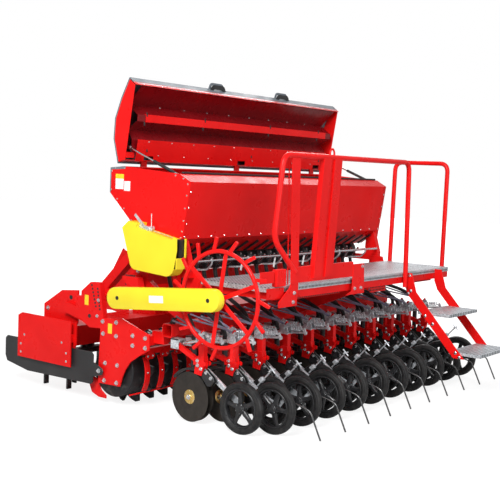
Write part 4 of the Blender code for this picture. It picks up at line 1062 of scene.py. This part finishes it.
def lid_cover():
    """The open lid: grey skin, red ends and lip, folded inner panel, rib and lower flap."""
    half = HALF_W
    outline = opened(LID_TOP + LID_EDGE)
    deep, thin, deeper = shrunk(outline, 0.01), shrunk(outline, 0.0035), shrunk(outline, 0.014)
    count = len(LID_TOP)
    skin = prism(np.concatenate([outline[:count], thin[:count][::-1]]), -half, half, 0.0005)
    rim = prism(np.concatenate([outline[:count], deep[:count][::-1]]), -half, -half + 0.005, 0.0005)
    fold = prism(lip_strip(0.002, 0.052, 0.0, 0.003), -half, half, 0.0004)
    piece("lid_skin", gather([skin, both_sides(rim), fold]), GREY, "lid", replaces=("lid",))
    ends = both_sides(prism(deep, -half + 0.0005, -half + 0.0065, 0.001))
    wall = prism(lip_strip(0.052, 0.082, 0.0005, 0.004), -half + 0.002, half - 0.002, 0.0005)
    front = prism([deep[-1], deep[0], deeper[0], deeper[-1]], -half + 0.004, half - 0.004, 0.0004)
    piece("lid_ends", gather([ends, wall, front]), RED, "lid")
    seam = prism(lip_strip(0.06, 0.067, -0.0006, 0.001), -half + 0.03, half - 0.03, 0.0003)
    piece("lid_seal", seam, ZINC, "lid")
    inner = np.array([(1.27, 2.262), (1.4, 2.132), (1.312, 2.066), (1.302, 2.062), (1.302, 2.014),
                      (1.312, 2.012), (1.398, 1.955), (1.352, 1.886), (1.352, 1.79)])
    side = STRUT_X - 0.018
    panel = np.stack([np.column_stack([np.full(len(inner), x), inner]) for x in (-side, side)])
    ring = np.concatenate([panel, panel[:, ::-1] + [0.0, 0.0025, 0.0]], 1)
    # Its dark red is painted shade: this inner panel faces down, away from the light.
    piece("lid_lining", loft(ring), SHADED_RED, "lid", sharp=12)
    rib = [(1.2985, 2.066), (1.2985, 2.012), (1.335, 2.008), (1.335, 2.011), (1.3015, 2.015),
           (1.3015, 2.063), (1.335, 2.07), (1.335, 2.073)]
    piece("lid_rib", prism(rib, -1.18, 1.18, 0.0004), RED, "lid")
    low = ((-1.235, -1.15), (-1.05, -0.05), (0.05, 1.05), (1.15, 1.235))
    flap = [lid_flap(-1.235, 1.235, 1.77, 1.886), *(lid_flap(a, b, 1.73, 1.77) for a, b in low)]
    piece("lid_flap", gather(flap), RED, "lid")
    gusset = [(1.345, 1.752), (1.345, 1.79), (1.405, 1.8), (1.42, 1.752)]
    piece("lid_gussets", both_sides(prism(gusset, -1.322, -1.24, 0.001)), RED, "lid")
    lid_fixings()


def lid_flap(x0, x1, z0, z1):
    """Part of the flap below the rib, in the lid's open face."""
    y0, y1 = (1.343 - (z - 1.728) * 0.1505 for z in (z0, z1))
    return prism([(y0, z0), (y1, z1), (y1 - 0.003, z1), (y0 - 0.003, z0)], x0, x1, 0.0004)


def lid_fixings():
    """Bolt rows of the lid, black blocks as painted shade in the slots beside its rib, hooks and buckles."""
    lip = lip_strip(0.0735, 0.08, -0.0004, 0.0)[0]
    rows = [domes([(x, *place) for x in np.linspace(first, last, count)], normal, size)
            for first, last, count, place, normal, size in (
                (-1.24, 1.24, 14, lip, (0, -0.6, 0.8), 0.005),
                (-0.93, 0.98, 8, (1.3985, 2.132), REARWARD, 0.0055),
                (-1.12, 1.12, 10, (1.3188, 1.872), REARWARD, 0.0055),
                (-1.0, 1.0, 8, (1.3334, 1.775), REARWARD, 0.0055))]
    piece("lid_bolts", gather(rows), BRIGHT, "lid")
    # Black blocks sunk in the panel: painted shade in the slots beside the rib and near the flap.
    upper = gather([block((-0.006, 1.2965, 2.052), (0.006, 1.3005, 2.082), 0.001),
                    block((-0.03, 1.2965, 1.985), (-0.018, 1.3005, 2.012), 0.001)])
    lower = block((-0.007, 1.3262, 1.8), (0.007, 1.329, 1.825), 0.0005)
    slots = [repeated(upper, across_row(np.array([-1.17, -0.52, 0.33, 1.06]))),
             repeated(lower, across_row(np.array([-1.13, 0.12, 1.13])))]
    piece("lid_slot_shade", gather(slots), SEAL_AND_SHADE, "lid")
    handles = across_row(np.array(LID_HANDLES))
    bow = rounded([(-0.098, 1.33, 2.272), (-0.062, 1.33, 2.3555), (0.076, 1.33, 2.3555),
                   (0.112, 1.33, 2.272)], 0.018, 5)
    hook = gather([swept(bow, oblong(0.02, 0.006), AHEAD),
                   block((-0.1, 1.327, 2.268), (0.114, 1.333, 2.318), 0.001)])
    piece("lid_hooks", repeated(hook, handles), GREY, "lid")
    low_bow = rounded([(-0.08, 1.318, 2.272), (-0.052, 1.312, 2.332), (0.07, 1.312, 2.332),
                       (0.098, 1.318, 2.272)], 0.016, 5)
    buckle = gather([swept(low_bow, oblong(0.034, 0.009), AHEAD),
                     block((-0.02, 1.308, 2.29), (0.038, 1.318, 2.3), 0.002)])
    piece("lid_buckles", repeated(buckle, handles), MOULDED, "lid")


def lid_struts():
    """Smooth barrels and rods with forged eyes, on the studs of the bin and the lid."""
    foot = np.array([STRUT_X, *STRUT_FOOT])
    eye = np.array([STRUT_X, *opened([STRUT_ON_LID])[0]])
    ahead, across = unit(eye - foot), np.array([0.008, 0.0, 0.0])
    barrel = [tube([foot + ahead * a, foot + ahead * b], radius, sides)
              for a, b, radius, sides in ((0.046, 0.255, 0.0115, 20), (0.25, 0.262, 0.0095, 16))]
    clevis = [tube([foot - across, foot + across], 0.013, 16),
              tube([foot + ahead * 0.004, foot + ahead * 0.048], 0.0085, 12)]
    rod = [tube([foot + ahead * 0.15, eye], 0.0065, 14), tube([eye - across, eye + across], 0.012, 16),
           tube([eye - ahead * 0.034, eye], 0.0075, 12)]
    piece("strut_tubes", both_sides(*barrel), BLACK, "strut_barrels",
          replaces=("strut_barrel_left", "strut_barrel_right"))
    piece("strut_feet", both_sides(*clevis), BRIGHT, "strut_barrels")
    piece("strut_shafts", both_sides(*rod), BRIGHT, "strut_rods",
          replaces=("strut_rod_left", "strut_rod_right"))


# Land wheel and its drive

def gear_cover():
    """Hollow yellow moulding with an opening and a latch at the rear, its dark case and the rate lever."""
    near, far = -1.43, -HALF_W - GAP
    low_arc = arc((0.835, 1.03), 0.075, 195, 268, 8)
    nose = arc((1.12, 1.035), 0.06, 275, 355, 6)
    outline = np.concatenate([[(1.26, 1.262), (1.2, 1.312), (1.113, 1.303), (1.123, 1.271), (0.79, 1.208),
                               (0.775, 1.227), (0.742, 1.215), (0.738, 1.139)], low_arc, nose])
    piece("gear_cover_face", prism(outline, near, near + 0.004, 0.0015), YELLOW, replaces=("gear_cover",))
    inner = shrunk(outline, 0.004)
    wall_path, wall_in = (np.concatenate([line[8:], line[:5]]) for line in (outline, inner))
    wall = prism(np.concatenate([wall_path, wall_in[::-1]]), near + 0.001, far, 0.0005)
    rear = [block((-1.345, 0.74, 1.01), (far, 0.748, 1.215), 0.001),
            block((near + 0.001, 0.74, 1.01), (far, 0.748, 1.085), 0.001)]
    latch = block((-1.36, 0.733, 1.05), (-1.332, 0.742, 1.07), 0.003)
    piece("gear_cover_wall", gather([wall, *rear]), YELLOW)
    piece("gear_cover_latch", latch, SEAL_AND_SHADE)
    piece("gear_case", prism(shrunk(outline, 0.012), near + 0.04, far - 0.001, 0.001), MOULDED)
    lever = [flat_bar((-1.4, 1.081, 1.285), (-1.4, 1.165, 1.358), 0.005, 0.02, (0.0, 1.0, -0.8)),
             flat_bar((-1.395, 1.0, 1.262), (-1.395, 1.158, 1.29), 0.014, 0.024, UP),
             tube([(-1.415, 1.15, 1.288), (-1.35, 1.15, 1.288)], 0.012, 12),
             tube([(-1.41, 1.036, 1.268), (-1.35, 1.036, 1.268)], 0.016, 12),
             tube([(-1.4, 1.006, 1.262), (-1.4, 1.008, 1.371)], 0.003, 8),
             flat_bar((-1.39, 0.801, 1.218), (-1.39, 0.99, 1.254), 0.01, 0.003, UP)]
    piece("rate_lever", gather(lever), ZINC)


def chain_case():
    """Long case with round ends and a rolled edge, two sleeved bolts and a blank label."""
    lift = np.degrees(np.arctan2(LAND_AXLE[1] - CASE_PIVOT[1], CASE_PIVOT[0] - LAND_AXLE[0]))
    outline = np.concatenate([arc(CASE_PIVOT, CASE_R, -90 - lift, 90 - lift, 17),
                              arc(LAND_AXLE, CASE_R, 90 - lift, 270 - lift, 17)])
    flats = [(0.0, 0.0075), (0.0022, 0.0022), (0.0075, 0.0), (CASE_T - 0.018, 0.0),
             (CASE_T - 0.0175, 0.0015), (CASE_T - 0.0155, 0.0015), (CASE_T - 0.015, 0.0),
             (CASE_T - 0.002, 0.0), (CASE_T, 0.002)]
    rings = np.array([np.column_stack([np.full(len(outline), CASE_SKIN + x), shrunk(outline, inset)])
                      for x, inset in flats])
    piece("chain_case_shell", loft(rings), YELLOW, "chain_case", replaces=("chain_case",), sharp=40)
    shaft = tube([(CASE_INNER - 0.002, *CASE_PIVOT), (-HALF_W - 0.07, *CASE_PIVOT)], 0.025, 20)
    piece("case_shaft", shaft, BLACK, "chain_case")
    at = np.array([(CASE_OUT, 1.099, 0.795), (CASE_OUT, 0.298, 0.865)])
    sleeves = repeated(faced(plug(0.014, 0.0006, 20), LEFT), at + [0.0006, 0.0, 0.0])
    piece("case_sleeves", sleeves, SEAL_AND_SHADE, "chain_case")
    piece("case_bolts", bolts(at + [0.0095, 0.0, 0.0], LEFT, 0.015), BRIGHT, "chain_case")
    ahead = unit(LAND_AXLE - CASE_PIVOT)
    across = np.array([-ahead[1], ahead[0]])
    corners = [CASE_PIVOT + ahead * a + across * b
               for a, b in ((0.326, -0.024), (0.452, -0.024), (0.452, 0.024), (0.326, 0.024))]
    film = prism(corners, CASE_OUT + 0.0002, CASE_OUT + 0.0012, 0.0001)
    piece("case_label", film, WHITE_LABEL, "chain_case")


def land_wheel():
    """Tube rim with flat spokes, fifteen skewed pegs and a hub with its washer."""
    centre = (LAND_X, *LAND_AXLE)
    rim = turned(circle(RIM_TUBE, 14) + [LAND_R, 0.0], 72, centre, ring=True)
    spoke = block((-0.004, 0.02, -0.0145), (0.004, LAND_R - 0.004, 0.0145), 0.001)
    spokes = spun(spoke, np.radians(60 * np.arange(6) + 38))
    skew = np.arctan2(0.395 * np.sin(0.1), 0.395 * np.cos(0.1) - LAND_R)
    peg = block((-0.009, -0.006, -0.0108), (0.009, 0.096, 0.0108), 0.0015)
    peg = moved(spun(peg, skew), (0.0, LAND_R, 0.0))
    pegs = spun(peg, 2 * np.pi * np.arange(LAND_PEGS) / LAND_PEGS + np.radians(6.8))
    near, far = CASE_INNER + GAP, LAND_X + 0.03
    hub = turned([(0.0, near), (0.033, near), (0.035, CASE_INNER + 0.003), (0.035, far - 0.003),
                  (0.032, far), (0.0, far)], 28, (0.0, *LAND_AXLE))
    piece("land_wheel_rim", gather([rim, *(moved(part, centre) for part in (spokes, pegs)), hub]), RED,
          "land_wheel", replaces=("land_wheel",))
    piece("land_wheel_nut", bolts([(far, *LAND_AXLE)], RIGHT, 0.03), BRIGHT, "land_wheel")


# Roller and harrow

def roller():
    """Drum with rings of curved teeth: each ring is a band whose edge swells into a tooth."""
    half = ROLLER_HALF
    drum = turned([(0.0, -half), (DRUM_R - 0.004, -half), (DRUM_R, -half + 0.004), (DRUM_R, half - 0.004),
                   (DRUM_R - 0.004, half), (0.0, half)], 48, ROLLER_MIDDLE)
    band = turned([(DRUM_R - 0.004, -0.03), (DRUM_R + 0.004, -0.024), (DRUM_R + 0.004, 0.024),
                   (DRUM_R - 0.004, 0.03)], 48, ROLLER_MIDDLE, ring=True)
    tooth = loft(np.array([level(-thick, thick, first, last, radius) for radius, first, last, thick in (
        (DRUM_R - 0.004, -0.052, 0.052, 0.017), (DRUM_R + 0.018, -0.036, 0.046, 0.015),
        (DRUM_R + 0.04, -0.014, 0.044, 0.012), (ROLLER_R - 0.001, 0.012, 0.04, 0.009))]))
    angles = 2 * np.pi * (np.arange(TEETH) + 0.5) / TEETH
    ring = moved(spun(tooth, angles), ROLLER_MIDDLE)
    moves = across_row(-half + RING_PITCH * (np.arange(SCRAPERS - 1) + 1.0))
    stub = both_sides(turned([(0.0, half - 0.01), (0.03, half - 0.01), (0.03, BETWEEN_SIDES),
                              (0.0, BETWEEN_SIDES)], 24, ROLLER_MIDDLE))
    shape = gather([drum, repeated(band, moves), repeated(ring, moves), stub])
    piece("packer_drum", shape, TEETH_STEEL, "packer_roller", replaces=("packer_roller",))


def scrapers():
    """Curved scraper strips with arrow heads on their rail, and the thin rod below them."""
    moves = across_row(-ROLLER_HALF + RING_PITCH * (np.arange(SCRAPERS) + 0.5))
    radius = DRUM_R + 0.068
    outer = arc((ROLLER_Y, ROLLER_R), radius + 0.004, 153, 207, 10)
    inner = arc((ROLLER_Y, ROLLER_R), radius - 0.003, 207, 153, 10)
    strip = prism(np.concatenate([outer, inner]), -0.024, 0.024, 0.0008)
    arrow = ((-0.024, -0.03), (-0.046, -0.016), (-0.046, 0.0), (0.0, 0.04), (0.046, 0.0),
             (0.046, -0.016), (0.024, -0.03))
    ring = [[(x, y, 0.392 + z) for x, z in arrow] for y in (0.979, 0.984)]
    neck = block((-0.014, 0.984, 0.395), (0.014, 1.012, 0.425), 0.002)
    rail = block((-BETWEEN_SIDES, 0.99, 0.395), (BETWEEN_SIDES, 1.03, 0.435), 0.003)
    rod_low = cross_bar(BETWEEN_SIDES, 1.075, 0.105, 0.006, 10)
    shape = gather([rail, rod_low, repeated(gather([strip, loft(np.array(ring)), neck]), moves)])
    piece("scraper_strips", shape, RED, replaces=("scrapers",))
    pair = [(-0.024, 0.979, 0.384), (0.024, 0.979, 0.384)]
    low = [(0.0, ROLLER_Y - radius - 0.004, 0.262)]
    heads = gather([bolts(pair, REARWARD, 0.013), bolts(low, REARWARD, 0.011)])
    piece("scraper_bolts", repeated(heads, moves), BRIGHT)


def dots(places, x, radius):
    """Dark round discs, barely proud of a face that looks to the left, where it is drilled: painted shade in
    its holes.
    """
    return repeated(faced(plug(radius, 0.0005, 14), LEFT), [(x, y, z) for y, z in places])


def side_plates():
    """Bolts, painted shade in holes, labels and the shields' brackets on the roller's and harrow's sides."""
    on_roller = [(1.346, 0.592), (1.212, 0.6), (1.339, 0.506), (1.209, 0.504), (1.05, 0.529),
                 (0.931, 0.527), (1.048, 0.46), (0.929, 0.459), (1.311, 0.3), (1.191, 0.3),
                 (1.316, 0.174), (1.194, 0.175)]
    on_end = [(2.131, 0.399), (2.169, 0.326), (2.168, 0.264), (1.716, 0.395), (1.666, 0.323), (1.664, 0.263)]
    heads = [bolts([(x, y, z) for y, z in places], LEFT, size) for x, places, size in (
        (-SIDE_OUT, on_roller, 0.022), (-END_OUT + 0.0135, on_end, 0.022),
        (HARROW_SIDE, [(1.405, 0.735), (1.413, 0.622)], 0.018), (FRAME_SIDE, [(1.983, 0.612)], 0.022),
        (SHIELD_SIDE, [(1.351, 0.24)], 0.024))]
    piece("side_plate_bolts", both_sides(*heads), BRIGHT)
    rear = [(1.475 - 0.0075 * k, 0.835 - 0.0245 * k) for k in range(7)]
    front = [(1.416 - 0.0045 * k, 0.816 - 0.024 * k) for k in range(7)]
    # Dark discs in the drilled holes: painted shade.
    marks = [dots(rear + front, HARROW_SIDE, 0.0085), dots([(1.493, 0.612)], HARROW_SIDE, 0.015),
             dots([(1.736, 0.716)], FRAME_SIDE, 0.017), dots([(1.696, 0.303)], -END_OUT + 0.0055, 0.015)]
    piece("side_plate_hole_shade", both_sides(*marks), SEAL_AND_SHADE)
    piece("side_labels", both_sides(sticker((1.506, 0.688), (1.546, 0.76), HARROW_SIDE),
                                    sticker((1.254, 0.514), (1.294, 0.584), -SIDE_OUT)), YELLOW_LABEL)
    bracket = [(1.43, 0.3), (1.412, 0.296), (1.322, 0.262), (1.308, 0.24), (1.318, 0.214), (1.4, 0.19),
               (1.43, 0.186)]
    piece("shield_brackets", both_sides(prism(bracket, SHIELD_SIDE, SHIELD_SIDE + 0.006)), BLACK)


def deflectors():
    """Curved end boards low behind the harrow's side, on the levelling board behind the rotors."""
    board = prism([(1.735, 0.128), (1.765, 0.128), (1.775, 0.185), (1.763, 0.185)], -1.38, 1.38, 0.001)
    curve = [(1.496, 0.112), (1.457, 0.177), (1.421, 0.168), (1.372, 0.089), (1.324, 0.058), (1.324, 0.036),
             (1.4, 0.036), (1.47, 0.06)]
    piece("levelling_board", gather([board, both_sides(prism(curve, -1.476, -1.468, 0.001))]), RED,
          replaces=("levelling_bar",))


def frame_fittings():
    """Folded flanges, caps in the main beam's ends, and bolts on the frame's side plates and braces."""
    fold = block((-1.4968, 1.566, 0.65), (-1.456, 1.64, 0.745), 0.002)
    piece("side_folds", both_sides(fold), RED)
    cap = block((-1.3535, 1.192, 0.847), (-1.35, 1.288, 0.923))
    piece("beam_caps", both_sides(cap), MOULDED)
    at = [(-1.3003, y, z) for y, z in ((1.215, 0.95), (1.215, 1.01), (0.83, 0.975), (1.06, 0.965))]
    piece("frame_bolts", both_sides(bolts(at, LEFT, 0.02)), BRIGHT)


# Stage, lamps and camera

def stage():
    """Pale floor that keeps its shadows near the machine and turns white further away."""
    x, y = np.meshgrid(*[np.linspace(-FLOOR_HALF, FLOOR_HALF, 3)] * 2, indexing="ij")
    points, groups = surface(np.stack([x, y, 0 * x - FLOOR_DROP], -1))
    mesh = bpy.data.meshes.new("floor")
    mesh.from_pydata(points.tolist(), [], [tuple(face) for face in groups[0].tolist()])
    floor = placed("floor", mesh)
    f = Finish("floor_white", specular=0.1)
    f.done(f.blend(f.grain(0.8, 2.0, 0.3, 0.7), (0.62, 0.62, 0.62), (0.58, 0.58, 0.58)), 0.75)
    glow = f.add("ShaderNodeEmission", {"Color": WHITE, "Strength": FLOOR_GLOW})["Emission"]
    away = f.add("ShaderNodeVectorMath", {0: f.place}, operation="LENGTH")["Value"]
    share = f.ramp(away, GLOW_NEAR, GLOW_FAR, *FLOOR_SHARE)
    seen = f.add("ShaderNodeLightPath", {})["Is Camera Ray"]
    mix = f.add("ShaderNodeMixShader", {"Fac": f.maths("MULTIPLY", seen, share),
                                        1: f.shader.outputs["BSDF"], 2: glow})["Shader"]
    f.feed(f.tree.nodes["Material Output"].inputs["Surface"], mix)
    mesh.materials.append(f.material)


def world():
    """Plain daylight from all sides: white where it is seen, dimmer in mirrors and as light."""
    sky = bpy.data.worlds.new("studio")
    bpy.context.scene.world = sky
    sky.use_nodes = True
    w = Nodes(sky.node_tree)
    ray = w.add("ShaderNodeLightPath", {})
    seen = w.maths("MAXIMUM", ray["Is Camera Ray"], ray["Is Transmission Ray"])
    in_gloss = w.maths("MULTIPLY", ray["Is Glossy Ray"], SKY_MIRRORED)
    back = w.tree.nodes["Background"].inputs
    w.feed(back["Strength"], w.ramp(w.maths("MAXIMUM", seen, in_gloss), 0.0, 1.0, SKY_LIGHT, 1.0))
    w.feed(back["Color"], WHITE)


def lamp(name, place, size, power):
    """Square soft lamp; its place is the machine's, and it looks at LAMP_AIM."""
    data = bpy.data.lights.new(name, "AREA")
    data.size = size
    data.energy = power
    place, aim = Vector(place) + Vector(SHIFT), Vector(LAMP_AIM) + Vector(SHIFT)
    turn = (place - aim).to_track_quat("Z", "Y").to_matrix().to_4x4()
    placed(name, data).matrix_world = Matrix.Translation(place) @ turn


def camera():
    """The photograph's viewpoint."""
    turn, dip, roll = CAMERA_TURN, CAMERA_DIP, CAMERA_ROLL
    ahead = np.array([np.sin(turn) * np.cos(dip), np.cos(turn) * np.cos(dip), -np.sin(dip)])
    side = np.array([np.cos(turn), -np.sin(turn), 0.0])
    up = np.cross(side, ahead)
    right = np.cos(roll) * side + np.sin(roll) * up
    above = -np.sin(roll) * side + np.cos(roll) * up
    data = bpy.data.cameras.new("camera")
    data.sensor_width = SENSOR
    data.lens = FOCAL * SENSOR
    data.clip_end = 200.0
    obj = placed("camera", data)
    turned_to = Matrix(np.column_stack([right, above, -ahead]).tolist()).to_4x4()
    obj.matrix_world = Matrix.Translation(Vector(np.array(CAMERA_PLACE) + SHIFT)) @ turned_to
    bpy.context.scene.camera = obj


for make in (cad_finishes, press_wheels, coulters, metering, deck, rails, ladder, hopper_fittings, lid_cover,
             lid_struts, gear_cover, chain_case, land_wheel, roller, scrapers, side_plates, deflectors,
             frame_fittings, stage, world):
    make()
for lamp_name, lamp_values in LAMPS.items():
    lamp(lamp_name, *lamp_values)
camera()

scene = bpy.context.scene
scene.view_settings.view_transform = "Standard"
